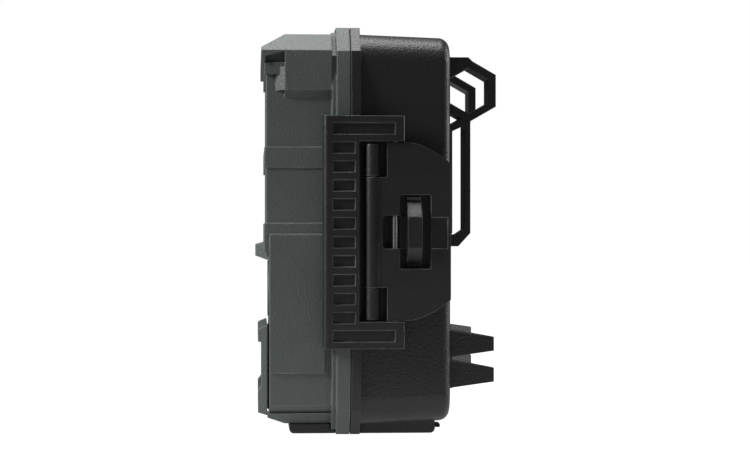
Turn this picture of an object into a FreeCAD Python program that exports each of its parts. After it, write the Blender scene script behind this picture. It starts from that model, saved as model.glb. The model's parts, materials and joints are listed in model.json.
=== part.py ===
import FreeCAD, Part
import os
from math import cos, radians, sin, tan

import Sketcher
from FreeCAD import Vector

# A clamshell trail camera: a grey front half with the optics, a black rear half with the batteries,
# a draw latch on the right (+X) side and a pinned hinge on the left.
# Every piece is drawn from the seam between the halves (Y = 0 there) and is then placed so that
# the mouth of the tripod socket is the origin. Millimetres, +Z up, the lens looks along -Y.

SIZES = {
    # case
    "seam_y": -16.5,
    "case_height": 140.0,
    "case_width": 104.0,
    "corner_rise": 23.5,
    "corner_step": 8.6,
    "corner_in": 2.4,
    "corner_top": 10.5,
    "body_corner_rise": 18.0,
    "body_corner_step": 6.7,
    "wall": 2.4,
    "seam_gap": 0.3,
    # front half
    "front_flange": 6.2,
    "flange_bevel": 1.6,
    "front_side": 5.0,
    "block_side": 2.5,
    "front_bottom": 3.5,
    "front_crown": 2.4,
    "front_depth": 28.6,
    "lower_depth": 27.4,
    "lower_top": 61.5,
    "block_depth": 22.2,
    "block_nose": 3.0,
    "shoulder_tuck": 3.6,
    "block_slope": 2.4,
    "upper_block_z": 118.0,
    "panel_side": 1.0,
    "skirt_side": 1.0,
    "skirt_top": 7.4,
    "shoulder_z": 131.6,
    "brow_depth": 30.3,
    "brow_drop": 127.9,
    "brow_tip_z": 132.7,
    "ledge_low": 123.6,
    "ledge_gap": 0.3,
    "wedge_depth": 28.8,
    "wedge_z": 129.6,
    "band_depth": 29.2,
    "band_side": 0.6,
    "upper_band_z": 91.6,
    "upper_band": 7.1,
    "lower_band_z": 68.9,
    "lower_band": 3.8,
    "cheek_z": 62.8,
    "hood_width": 38.0,
    "hood_tip": 32.3,
    "hood_chin": 1.8,
    "hood_low": 59.5,
    "hood_high": 66.3,
    "hood_fall": 1.1,
    "hood_taper": 3.0,
    # optics
    "lens_z": 49.2,
    "window_radius": 8.6,
    "window_thick": 1.5,
    "window_ledge": 0.8,
    "window_sunk": 0.4,
    "bezel_radius": 10.0,
    "bezel_proud": 0.5,
    "barrel_radius": 6.0,
    "barrel_wall": 1.0,
    "barrel_length": 10.5,
    "holder_size": 19.0,
    "holder_depth": 9.0,
    "sensor_plane": 10.2,
    "filter_travel": 5.5,
    "flash_z": 100.8,
    "flash_height": 21.0,
    "flash_width": 66.0,
    "flash_rim": 1.8,
    "flash_thick": 1.8,
    "led_radius": 2.2,
    "led_pitch_x": 6.6,
    "led_pitch_z": 6.4,
    "board": 1.6,
    "led_plane": 21.0,
    "sense_z": 82.0,
    "sense_pitch": 12.0,
    "sense_radius": 1.8,
    # passive infrared window
    "pir_width": 64.0,
    "pir_low": 5.8,
    "pir_high": 37.2,
    "pir_rim_y": 31.4,
    "pir_waist_y": 30.2,
    "pir_neck": 0.7,
    "pir_low_lip": 8.4,
    "pir_high_lip": 5.8,
    "pir_lip_slope": 1.5,
    "pir_side": 1.2,
    "pir_border": 7.0,
    "pir_film": 0.8,
    "pir_can": 4.7,
    # rear half
    "rear_flange": 3.3,
    "rear_depth": 34.6,
    "rear_in": 3.6,
    "rear_low": 4.5,
    "rear_high": 136.7,
    "rear_draft": 2.0,
    "rear_corner": 10.0,
    "rear_edge": 3.8,
    "cavity_corner": 7.0,
    "gasket_width": 1.6,
    "gasket_inset": 1.7,
    "plinth_width": 76.0,
    "plinth_front": 3.6,
    "plinth_back": 29.9,
    "plinth_edge": 1.7,
    # tripod socket, one quarter inch thread
    "socket_radius": 2.55,
    "socket_depth": 9.0,
    "insert_radius": 4.5,
    "boss_radius": 8.0,
    # hinge
    "hinge_out": 3.3,
    "knuckle_radius": 2.9,
    "hinge_pin": 1.5,
    "pin_play": 0.05,
    "knuckle_play": 0.4,
    "knuckle_long": 36.0,
    "knuckle_short": 24.0,
    "knuckle_end": 15.6,
    # draw latch
    "lever_out": 1.7,
    "lever_y": 7.3,
    "barrel": 2.75,
    "latch_rod": 1.2,
    "lever_low": 39.6,
    "lever_high": 100.0,
    "barrel_low": 50.8,
    "barrel_high": 88.2,
    "lug_play": 0.3,
    "lug_low": 39.9,
    "lug_high": 99.4,
    "lever_under": 0.9,
    "lever_over": 3.5,
    "lever_slot": 12.2,
    "lever_back": 33.9,
    "lever_bend": 19.5,
    "lever_sag": 7.1,
    "window_front": 16.6,
    "window_back": 27.1,
    "window_low": 57.2,
    "window_high": 82.2,
    "bay_front": 10.7,
    "bay_low": 64.0,
    "bay_high": 75.2,
    "trough_back": 32.8,
    "trough_sink": 0.6,
    "bay_round": 1.6,
    "frame_front": -9.5,
    "frame_inner_y": 2.7,
    "frame_back": 18.2,
    "frame_low": 30.1,
    "frame_high": 109.0,
    "arm_low": 39.3,
    "arm_high": 100.3,
    "frame_under": 0.4,
    "frame_over": 4.6,
    "hook_in": 1.7,
    "hook_back": -7.4,
    "frame_round": 1.6,
    "rib_first": 38.7,
    "rib_pitch": 6.4,
    "rib_open": 3.8,
    "rib_front": -6.1,
    "rib_back": 1.4,
    "rib_sink": 1.3,
    "arm_recess": 3.9,
    "arm_recess_back": 14.9,
    "arm_recess_edge": 2.4,
    "link_out": 2.2,
    "link_y": 14.9,
    "link_rod": 0.9,
    "link_reach": 4.0,
    # padlock staple
    "seat_in": 2.0,
    "staple_front": 19.0,
    "staple_back": 24.0,
    "staple_low": 57.8,
    "staple_high": 81.6,
    "staple_flat_low": 64.2,
    "staple_flat_high": 74.6,
    "staple_proud": 7.0,
    "shoulder_proud": 3.4,
    "staple_knee": 2.2,
    "staple_bar": 2.7,
    "tongue_front": 14.6,
    "tongue_low": 63.8,
    "tongue_high": 75.1,
    "tongue_in": 0.3,
    "foot_in": 0.7,
    # cable rings and strap bars
    "loop_outer_x": 40.0,
    "loop_width": 14.0,
    "ring_y": 41.4,
    "ring_z": 118.6,
    "ring_apothem": 9.55,
    "ring_bar": 2.65,
    "gusset_z": 128.5,
    "gusset": 1.7,
    "bar_front": 40.0,
    "bar_thick": 2.1,
    "bar_low": 69.3,
    "bar_foot": 64.7,
    "strut_foot": 104.0,
    "strut": 1.9,
    "brace": 1.2,
    "gusset_drop": 5.5,
    # tree teeth
    "tooth_tip_y": 50.3,
    "tooth_root": 18.0,
    "tooth_point": 4.0,
    "tooth_plate": 1.2,
    "upper_tooth_z": 30.9,
    "lower_tooth_z": 20.2,
    "tooth_height": 9.2,
    "tooth_tip": 4.8,
    # screws
    "screw_radius": 1.2,
    "head_radius": 2.2,
    "head": 1.4,
    "screw_play": 0.08,
    "column_radius": 2.6,
    # inside the front half
    "panel_back": 1.2,
    "panel": 2.0,
    "panel_gap": 0.5,
    "board_back": 6.9,
    "board_half": 36.5,
    "board_low": 9.0,
    "board_high": 125.0,
    "board_screw_x": 33.0,
    "board_screw_low": 13.0,
    "board_screw_high": 92.0,
    "panel_screw_x": 40.5,
    "panel_screw_low": 34.0,
    "panel_screw_high": 106.0,
    "screen_width": 44.0,
    "screen_height": 32.0,
    "screen_z": 83.0,
    "screen_border": 3.0,
    "key_radius": 3.0,
    "key_play": 0.2,
    "key_flange": 0.6,
    "key_pitch": 8.0,
    "key_x": 14.0,
    "key_z": 70.0,
    "menu_x": -8.0,
    "key_proud": 0.4,
    "key_travel": 0.5,
    "card_width": 24.0,
    "card_length": 32.0,
    "card_thick": 2.1,
    "card_x": -14.0,
    "card_z": 30.0,
    "card_play": 0.2,
    "card_out": 6.0,
    "socket_wall": 0.5,
    "usb_z": 17.6,
    "usb_height": 6.4,
    "switch_x": -30.0,
    "switch_z": 60.0,
    "switch_travel": 2.5,
    "switch_cap": 5.0,
    # battery pack, eight AA cells
    "cell_radius": 7.25,
    "cell_length": 50.5,
    "cell_pitch": 16.0,
    "cell_y": 11.6,
    "spring_radius": 3.2,
    "spring_length": 3.2,
    "contact": 0.5,
    "tray_gap": 0.4,
    "tray_front": 3.2,
    "tray_wall": 1.6,
    # power contacts between the halves
    "block_x": -40.5,
    "block_z": 86.0,
    "block_half_x": 3.2,
    "block_half_z": 7.25,
    "contact_pitch": 6.4,
    "contact_pin": 0.9,
    "contact_gap": 0.15,
    # power inlet and its plug
    "inlet_x": 26.0,
    "inlet_y": 22.5,
    "inlet_radius": 5.0,
    "plug_width": 15.4,
    "plug_front": 17.3,
    "plug_thick": 2.4,
    "plug_play": 0.3,
    "plug_stem": 3.4,
    "plug_tab": 32.4,
}

doc = FreeCAD.newDocument("TrailCamera")
sheet = doc.addObject("Spreadsheet::Sheet", "Sizes")


class Length:
    """A size from the sheet or a sum of sizes: its value, and the formula that keeps it bound."""

    def __init__(self, formula, value):
        self.formula = formula
        self.value = float(value)

    def __add__(self, other):
        other = as_length(other)
        return Length(f"({self.formula} + {other.formula})", self.value + other.value)

    def __sub__(self, other):
        other = as_length(other)
        return Length(f"({self.formula} - {other.formula})", self.value - other.value)

    def __mul__(self, factor):
        return Length(f"({self.formula} * {factor})", self.value * factor)

    def __truediv__(self, divisor):
        return Length(f"({self.formula} / {divisor})", self.value / divisor)

    def __neg__(self):
        return Length(f"(0 - {self.formula})", -self.value)

    def __radd__(self, other):
        return as_length(other) + self

    def __rsub__(self, other):
        return as_length(other) - self


def as_length(item):
    return item if isinstance(item, Length) else Length(repr(float(item)), item)


class SheetSizes:
    """Each alias of the sheet as an attribute."""


size = SheetSizes()
for row, (alias, value) in enumerate(SIZES.items(), start=1):
    sheet.set(f"A{row}", alias)
    sheet.set(f"B{row}", str(value))
    sheet.setAlias(f"B{row}", alias)
    setattr(size, alias, Length(f"Sizes.{alias}", value))
doc.recompute()


def rectangle(low_a, high_a, low_b, high_b):
    return [(low_a, low_b), (high_a, low_b), (high_a, high_b), (low_a, high_b)]


def mirrored(points):
    """A closed outline from its right-hand points, listed upwards, and their mirror image."""
    return points + [(-as_length(x), z) for x, z in reversed(points)]


def case_outline(half, low, high):
    """The case seen from the front: straight sides and corners of two facets each."""
    return mirrored([
        (half - size.corner_top, low),
        (half - size.corner_in, low + size.corner_step),
        (half, low + size.corner_rise),
        (half, high - size.corner_rise),
        (half - size.corner_in, high - size.corner_step),
        (half - size.corner_top, high),
    ])


class Circle:
    def __init__(self, a, b, radius):
        self.a = as_length(a)
        self.b = as_length(b)
        self.radius = radius


class Piece:
    """One sub-part: a body whose sketches lie parallel to its origin planes."""

    def __init__(self, label, several=False):
        self.body = doc.addObject("PartDesign::Body", label)
        self.body.Label = label
        self.body.AllowCompound = several
        self.body.setExpression("Placement.Base.y", "Sizes.seam_y")
        doc.recompute()

    def sketch(self, plane, at, outlines):
        profile = self.body.newObject("Sketcher::SketchObject", self.body.Name + "_sketch")
        support = [item for item in self.body.Origin.OriginFeatures if item.Role == plane + "_Plane"]
        profile.AttachmentSupport = [(support[0], "")]
        profile.MapMode = "FlatFace"
        profile.setExpression("AttachmentOffset.Base.z", at.formula)
        for outline in outlines:
            if isinstance(outline, Circle):
                self.draw_circle(profile, outline)
            else:
                self.draw_polygon(profile, outline)
        return profile

    def bind(self, profile, kind, geometry, vertex, distance):
        index = profile.addConstraint(Sketcher.Constraint(kind, -1, 1, geometry, vertex, distance.value))
        profile.setExpression(f"Constraints[{index}]", distance.formula)

    def draw_circle(self, profile, circle):
        centre = Vector(circle.a.value, circle.b.value, 0)
        index = profile.addGeometry(Part.Circle(centre, Vector(0, 0, 1), circle.radius.value))
        self.bind(profile, "DistanceX", index, 3, circle.a)
        self.bind(profile, "DistanceY", index, 3, circle.b)
        rim = profile.addConstraint(Sketcher.Constraint("Radius", index, circle.radius.value))
        profile.setExpression(f"Constraints[{rim}]", circle.radius.formula)

    def draw_polygon(self, profile, outline):
        corners = [(as_length(a), as_length(b)) for a, b in outline]
        points = [Vector(a.value, b.value, 0) for a, b in corners]
        first = profile.GeometryCount
        sides = [Part.LineSegment(points[i], points[(i + 1) % len(points)]) for i in range(len(points))]
        profile.addGeometry(sides)
        for i in range(len(points)):
            following = first + (i + 1) % len(points)
            profile.addConstraint(Sketcher.Constraint("Coincident", first + i, 2, following, 1))
        for i, (a, b) in enumerate(corners):
            self.bind(profile, "DistanceX", first + i, 1, a)
            self.bind(profile, "DistanceY", first + i, 1, b)

    def extrude(self, kind, plane, low, high, outlines, taper):
        """Add or cut the outlines between two places along the plane's own axis."""
        low, high = as_length(low), as_length(high)
        before = self.body.Shape.Volume if self.body.Tip else 0.0
        feature = self.body.newObject("PartDesign::" + kind, self.body.Name + "_" + kind.lower())
        feature.Profile = self.sketch(plane, -high if plane == "XZ" else low, outlines)
        feature.setExpression("Length", (high - low).formula)
        feature.Reversed = kind == "Pocket"
        if taper is not None:
            feature.setExpression("TaperAngle", as_length(taper).formula)
        self.body.Tip = feature
        doc.recompute()
        gained = self.body.Shape.Volume - before
        if (gained <= 0) if kind == "Pad" else (gained >= 0):
            raise RuntimeError(f"{self.body.Label}: {feature.Name} changed nothing")
        return self

    def pad(self, plane, low, high, *outlines, taper=None):
        return self.extrude("Pad", plane, low, high, outlines, taper)

    def cut(self, plane, low, high, *outlines, taper=None):
        return self.extrude("Pocket", plane, low, high, outlines, taper)

    def soften(self, kind, amount, wanted):
        """Fillet or chamfer the edges for which wanted(edge) holds."""
        base = self.body.Tip
        names = [f"Edge{i}" for i, edge in enumerate(base.Shape.Edges, start=1) if wanted(edge)]
        if not names:
            raise RuntimeError(f"{self.body.Label}: no edge to soften")
        feature = self.body.newObject("PartDesign::" + kind, self.body.Name + "_" + kind.lower())
        feature.Base = (base, names)
        feature.setExpression("Radius" if kind == "Fillet" else "Size", amount.formula)
        self.body.Tip = feature
        doc.recompute()
        return self


def runs_along(axis):
    """A test for straight edges that lie along one axis, give or take the moulding draft."""
    def wanted(edge):
        if len(edge.Vertexes) < 2:
            return False
        ends = edge.Vertexes[1].Point - edge.Vertexes[0].Point
        return abs(ends.normalize().dot(axis)) > cos(radians(6))
    return wanted


def near(value, target):
    return abs(value - target) < 0.02


def ring_points(centre_y, centre_z, apothem):
    """A regular hexagon with a corner at its top, as points of Y and Z."""
    corner = apothem / cos(radians(30))
    return [(centre_y + corner * cos(radians(30 + 60 * k)), centre_z + corner * sin(radians(30 + 60 * k)))
            for k in range(6)]


front_half = size.case_width / 2 - size.front_side
# the latch, its staple and the rear half all keep their place from the case's side
rear_half = size.case_width / 2 - size.rear_in
lever_x = size.case_width / 2 + size.lever_out
lever_inner = size.case_width / 2 + size.lever_under
lever_outer = size.case_width / 2 + size.lever_over
link_x = size.case_width / 2 + size.link_out
frame_inner = size.case_width / 2 + size.frame_under
frame_outer = size.case_width / 2 + size.frame_over
hook_x = size.case_width / 2 - size.hook_in
seat_x = size.case_width / 2 - size.seat_in
staple_out = size.case_width / 2 + size.staple_proud
staple_foot = size.case_width / 2 - size.foot_in
tongue_out = size.case_width / 2 - size.tongue_in
staple_shoulder = size.case_width / 2 + size.shoulder_proud
block_half = size.case_width / 2 - size.block_side
front_top = size.case_height - size.front_crown
cavity_half = front_half - size.wall
cavity_low = size.front_bottom + size.wall
cavity_high = front_top - size.wall
cavity_front = -(size.lower_depth - size.wall)
hinge_x = -(size.case_width / 2 + size.hinge_out)
board_front = -(size.board_back + size.board)
panel_front = -(size.panel_back + size.panel)
board_screws = [(size.board_screw_x * side, z) for z in (size.board_screw_low, size.board_screw_high)
                for side in (1, -1)]
panel_screws = [(size.panel_screw_x * side, z) for z in (size.panel_screw_low, size.panel_screw_high)
                for side in (1, -1)]


# Hinge: the rear half has the outer and middle knuckles, the front half has the two between them.
def knuckle_spans():
    rear_low = (size.knuckle_end, size.knuckle_end + size.knuckle_short / 2)
    front_low = (rear_low[1] + size.knuckle_play, rear_low[1] + size.knuckle_play + size.knuckle_short)
    middle = (front_low[1] + size.knuckle_play, front_low[1] + size.knuckle_play + size.knuckle_long)
    front_high = (middle[1] + size.knuckle_play, middle[1] + size.knuckle_play + size.knuckle_short)
    high_start = front_high[1] + size.knuckle_play
    rear_high = (high_start, high_start + size.knuckle_short / 2)
    return [rear_low, middle, rear_high], [front_low, front_high]


def add_knuckles(piece, spans, web_near, web_far):
    """Barrels round the hinge pin, each with a web to its flange."""
    inside = -(size.case_width / 2 - size.gasket_inset / 2)
    for low, high in spans:
        piece.pad("XY", low, high, rectangle(hinge_x, inside, web_near, web_far))
        piece.pad("XY", low, high, Circle(hinge_x, 0, size.knuckle_radius))
        piece.cut("XY", low, high, Circle(hinge_x, 0, size.hinge_pin + size.pin_play))


rear_knuckles, front_knuckles = knuckle_spans()


def front_shell():
    """Grey moulded front: flange, recessed sides, shoulders, brow, two bands, lens hood and skirt."""
    shell = Piece("front_shell")
    upper_corner = [
        (front_half, front_top - size.corner_rise),
        (front_half - size.corner_in, front_top - size.corner_step),
        (front_half - size.corner_top, front_top),
    ]
    shell.pad("XZ", -size.lower_depth, -size.front_flange, mirrored([
        (front_half - size.corner_top, size.front_bottom),
        (front_half - size.corner_in, size.front_bottom + size.body_corner_step),
        (front_half, size.front_bottom + size.body_corner_rise),
    ] + upper_corner))
    shell.pad("XZ", -size.front_depth, -size.lower_depth, mirrored(
        [(front_half, size.lower_top)] + upper_corner))
    bevel_end = -(size.front_flange - size.flange_bevel)
    shell.pad("XZ", -size.front_flange, bevel_end, case_outline(
        size.case_width / 2 - size.flange_bevel, size.flange_bevel, size.case_height - size.flange_bevel))
    shell.pad("XZ", bevel_end, 0, case_outline(size.case_width / 2, 0, size.case_height))
    # raised shoulder blocks at the top corners, each with a bevelled front edge
    shoulder_in = block_half - size.corner_top + size.shoulder_tuck
    shell.pad("XZ", -size.block_depth, -size.front_flange, mirrored([
        (front_half, size.upper_block_z - size.block_slope),
        (block_half, size.upper_block_z),
        (block_half, size.shoulder_z),
        (shoulder_in, front_top),
    ]))
    nose = size.block_depth + size.block_nose
    for side in (1, -1):
        shell.pad("XY", size.upper_block_z, size.ledge_low + size.block_slope, [
            ((front_half - size.wall) * side, -size.block_depth),
            ((front_half - size.wall) * side, -nose),
            (front_half * side, -nose),
            (block_half * side, -size.block_depth),
        ])
    # skirt lip along the bottom, then the slope under its front
    skirt_front = size.lower_depth + size.pir_neck
    skirt_half = front_half - size.corner_top + size.skirt_side
    shell.pad("XZ", -skirt_front, -size.front_flange, mirrored([
        (skirt_half, size.front_bottom),
        (skirt_half + (size.skirt_top - size.front_bottom) * 1.2, size.skirt_top),
    ]))
    shell.cut("YZ", -size.case_width / 2, size.case_width / 2, [
        (-size.front_depth, 0),
        (-size.block_depth, 0),
        (-size.block_depth, size.front_bottom),
        (-size.front_depth, size.front_bottom + size.front_crown),
    ])
    shell.cut("XZ", -skirt_front, -size.lower_depth, rectangle(
        -(size.pir_width / 2 + size.plug_play), size.pir_width / 2 + size.plug_play,
        size.pir_low - size.plug_play, size.skirt_top + size.plug_play))
    # brow hood over the flash window, hollowed at the sides above its ledge
    shell.pad("XZ", -size.brow_depth, -size.block_depth, mirrored([
        (block_half, size.brow_drop),
        (block_half, size.shoulder_z),
        (shoulder_in, front_top),
    ]))
    shell.cut("YZ", -size.case_width / 2, size.case_width / 2, [
        (-size.brow_depth, size.brow_tip_z),
        (-size.block_depth, front_top),
        (-size.block_depth, size.case_height),
        (-size.brow_depth, size.case_height),
    ])
    for low_x, high_x in ((front_half, size.case_width / 2), (-size.case_width / 2, -front_half)):
        shell.cut("YZ", low_x, high_x, [
            (-size.wedge_depth, size.brow_drop),
            (-size.block_depth, size.brow_drop),
            (-size.block_depth, size.shoulder_z - size.ledge_gap),
            (-size.wedge_depth, size.wedge_z),
        ])
    shell.pad("XZ", -size.band_depth, -size.block_depth, rectangle(
        -(front_half + size.band_side * 2), front_half + size.band_side * 2,
        size.ledge_low, size.brow_drop - size.ledge_gap))
    # hood over the lens: narrower at its tip, sloped above and below
    hood_half = size.hood_width / 2
    shell.pad("XY", size.hood_low, size.hood_high, [
        (-hood_half, -size.lower_depth),
        (hood_half, -size.lower_depth),
        (hood_half - size.hood_taper, -size.hood_tip),
        (-(hood_half - size.hood_taper), -size.hood_tip),
    ])
    shell.cut("YZ", -hood_half, hood_half, [
        (-size.lower_depth, size.hood_low),
        (-size.hood_tip, size.hood_low + size.hood_chin),
        (-size.hood_tip, size.hood_low),
    ])
    shell.cut("YZ", -hood_half, hood_half, [
        (-size.front_depth, size.hood_high),
        (-size.hood_tip, size.hood_high - size.hood_fall),
        (-size.hood_tip, size.hood_high),
    ])
    # two bands round the front and sides, the cheek below the lower one and the raised side panel
    for low, tall in ((size.upper_band_z, size.upper_band), (size.lower_band_z, size.lower_band)):
        shell.pad("XZ", -size.band_depth, -(size.front_flange + size.wall), rectangle(
            -(front_half + size.band_side), front_half + size.band_side, low, low + tall))
    shell.pad("XZ", -size.band_depth, -(size.lower_depth - size.pir_neck), rectangle(
        -(front_half + size.band_side / 2), front_half + size.band_side / 2, size.cheek_z, size.lower_band_z))
    shell.pad("XZ", -size.lower_depth, -(size.front_flange + size.wall), rectangle(
        -(front_half + size.panel_side), front_half + size.panel_side,
        size.front_bottom + size.body_corner_rise, size.lower_band_z))
    # bezel of the lens
    shell.pad("XZ", -(size.lower_depth + size.bezel_proud), -size.lower_depth,
              Circle(0, size.lens_z, size.bezel_radius))
    # the inside, then the openings through the front wall
    shell.cut("XZ", cavity_front, 0, case_outline(cavity_half, cavity_low, cavity_high))
    flash_top = size.flash_z + size.flash_height
    shell.cut("XZ", -size.front_depth, cavity_front, rectangle(
        -size.flash_width / 2, size.flash_width / 2, size.flash_z, flash_top))
    shell.cut("XZ", -size.front_depth, -(size.front_depth - size.flash_thick), rectangle(
        -(size.flash_width / 2 + size.flash_rim), size.flash_width / 2 + size.flash_rim,
        size.flash_z - size.flash_rim, flash_top + size.flash_rim))
    bezel_face = -(size.lower_depth + size.bezel_proud)
    shell.cut("XZ", bezel_face, cavity_front, Circle(0, size.lens_z, size.window_radius - size.window_ledge))
    shell.cut("XZ", bezel_face, bezel_face + size.window_sunk + size.window_thick,
              Circle(0, size.lens_z, size.window_radius + size.screw_play))
    shell.cut("XZ", -size.lower_depth, cavity_front, rectangle(
        -(size.pir_width / 2 - size.pir_border), size.pir_width / 2 - size.pir_border,
        size.pir_low + size.pir_border, size.pir_high - size.pir_border))
    shell.cut("XZ", -size.front_depth, cavity_front,
              Circle(0, size.sense_z, size.sense_radius),
              Circle(size.sense_pitch, size.sense_z, size.sense_radius),
              Circle(-size.sense_pitch, size.sense_z, size.sense_radius / 2))
    # columns that carry the circuit board and the inner panel
    for places, reach in ((board_screws, board_front), (panel_screws, panel_front)):
        for x, z in places:
            shell.pad("XZ", cavity_front, reach, Circle(x, z, size.column_radius))
            shell.cut("XZ", cavity_front + size.wall, reach, Circle(x, z, size.screw_radius + size.screw_play))
    add_knuckles(shell, front_knuckles, -size.knuckle_radius, 0)
    return shell


def front_foot():
    """Black foot under the front half, level with the rear plinth."""
    foot = Piece("front_foot")
    foot.pad("XY", 0, size.front_bottom, rectangle(
        -size.plinth_width / 2, size.plinth_width / 2, -(size.block_depth - size.flange_bevel),
        -(size.front_flange + size.screw_play)))
    foot.pad("XY", 0, size.flange_bevel - size.screw_play, rectangle(
        -size.plinth_width / 2, size.plinth_width / 2, -(size.front_flange + size.screw_play),
        -(size.front_flange - size.flange_bevel + size.screw_play)))
    front_edge = -(size.block_depth - size.flange_bevel)
    foot.soften("Fillet", size.plinth_edge, lambda edge: all(
        near(v.Z, 0) and near(v.Y, front_edge.value) for v in edge.Vertexes))
    return foot


def rear_shell():
    """Black moulded rear: flange, drafted shell, plinth, hinge and latch knuckles, staple seat."""
    shell = Piece("rear_shell")
    flange_end = size.seam_gap + size.rear_flange
    shell.pad("XZ", flange_end, size.rear_depth, rectangle(
        -rear_half, rear_half, size.rear_low, size.rear_high), taper=size.rear_draft)
    shell.soften("Fillet", size.rear_corner, runs_along(Vector(0, 1, 0)))
    shell.soften("Fillet", size.rear_edge, lambda edge: all(
        near(v.Y, size.rear_depth.value) for v in edge.Vertexes))
    shell.pad("XZ", size.seam_gap, flange_end, case_outline(size.case_width / 2, 0, size.case_height))
    # base plinth, tripod boss, latch lugs and staple seat
    shell.pad("XY", 0, size.rear_low + size.wall / 2, rectangle(
        -size.plinth_width / 2, size.plinth_width / 2, size.plinth_front, size.plinth_back))
    shell.soften("Fillet", size.plinth_edge, lambda edge: all(
        near(v.Z, 0) and near(v.Y, size.plinth_back.value) for v in edge.Vertexes))
    wall_half = rear_half - size.wall
    for low, high in ((size.lug_low, size.barrel_low - size.lug_play),
                      (size.barrel_high + size.lug_play, size.lug_high)):
        shell.pad("XY", low, high, rectangle(
            wall_half, lever_x, size.lever_y - size.barrel, size.lever_y + size.barrel))
        shell.pad("XY", low, high, Circle(lever_x, size.lever_y, size.barrel))
        shell.cut("XY", low, high, Circle(lever_x, size.lever_y, size.latch_rod))
    shell.pad("YZ", wall_half, seat_x, rectangle(
        size.tongue_front - size.wall / 2, size.window_back,
        size.staple_low - size.wall / 2, size.staple_high + size.wall / 2))
    # the inside
    inner = wall_half - size.cavity_corner
    low = size.rear_low + size.wall
    high = size.rear_high - size.wall
    shell.cut("XZ", size.seam_gap, size.rear_depth - size.wall, mirrored([
        (inner, low),
        (wall_half, low + size.cavity_corner),
        (wall_half, high - size.cavity_corner),
        (inner, high),
    ]))
    groove_half = size.case_width / 2 - size.gasket_inset
    groove_edge = size.gasket_inset + size.gasket_width
    shell.cut("XZ", size.seam_gap, size.seam_gap + size.gasket_width,
              case_outline(groove_half, size.gasket_inset, size.case_height - size.gasket_inset),
              case_outline(groove_half - size.gasket_width, groove_edge, size.case_height - groove_edge))
    shell.pad("XY", 0, size.socket_depth + size.wall, Circle(0, -size.seam_y, size.boss_radius))
    shell.cut("XY", 0, size.socket_depth, Circle(0, -size.seam_y, size.insert_radius))
    # power inlet with a seat for its plug
    shell.cut("XY", 0, size.rear_low + size.wall, Circle(size.inlet_x, size.inlet_y, size.inlet_radius))
    shell.cut("XY", 0, size.plug_thick + size.plug_play, rectangle(
        size.inlet_x - size.plug_width / 2 - size.plug_play,
        size.inlet_x + size.plug_width / 2 + size.plug_play,
        size.plug_front - size.plug_play, size.rear_depth - size.wall))
    for x, z in bracket_screws:
        shell.cut("XZ", size.rear_depth - size.wall, size.rear_depth,
                  Circle(x, z, size.screw_radius + size.screw_play))
    add_knuckles(shell, rear_knuckles, size.seam_gap + size.screw_play * 2, size.knuckle_radius)
    return shell


loop_middle = size.loop_outer_x - size.loop_width / 2
gusset_screw_z = size.gusset_z - size.screw_radius - size.screw_play * 4
foot_screw_z = size.bar_foot + size.wall / 2
bracket_screws = [(x * side, z) for side in (1, -1) for x, z in (
    (loop_middle, gusset_screw_z),
    (loop_middle, foot_screw_z),
    (size.loop_outer_x - size.tooth_root / 2, size.upper_tooth_z),
    (size.loop_outer_x - size.tooth_root / 2, size.lower_tooth_z),
)]


def seam_gasket():
    gasket = Piece("seam_gasket")
    outer = size.case_width / 2 - size.gasket_inset - size.screw_play
    low = size.gasket_inset + size.screw_play
    inner = outer - size.gasket_width + size.screw_play * 2
    inner_low = low + size.gasket_width - size.screw_play * 2
    gasket.pad("XZ", size.screw_play, size.seam_gap + size.gasket_width,
               case_outline(outer, low, size.case_height - low),
               case_outline(inner, inner_low, size.case_height - inner_low))
    return gasket


def tripod_insert():
    insert = Piece("tripod_insert")
    insert.pad("XY", 0, size.socket_depth, Circle(0, -size.seam_y, size.insert_radius))
    insert.cut("XY", 0, size.socket_depth - size.wall / 2, Circle(0, -size.seam_y, size.socket_radius))
    return insert


def hinge_pin():
    pin = Piece("hinge_pin")
    pin.pad("XY", rear_knuckles[0][0], rear_knuckles[-1][1], Circle(hinge_x, 0, size.hinge_pin))
    return pin


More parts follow.
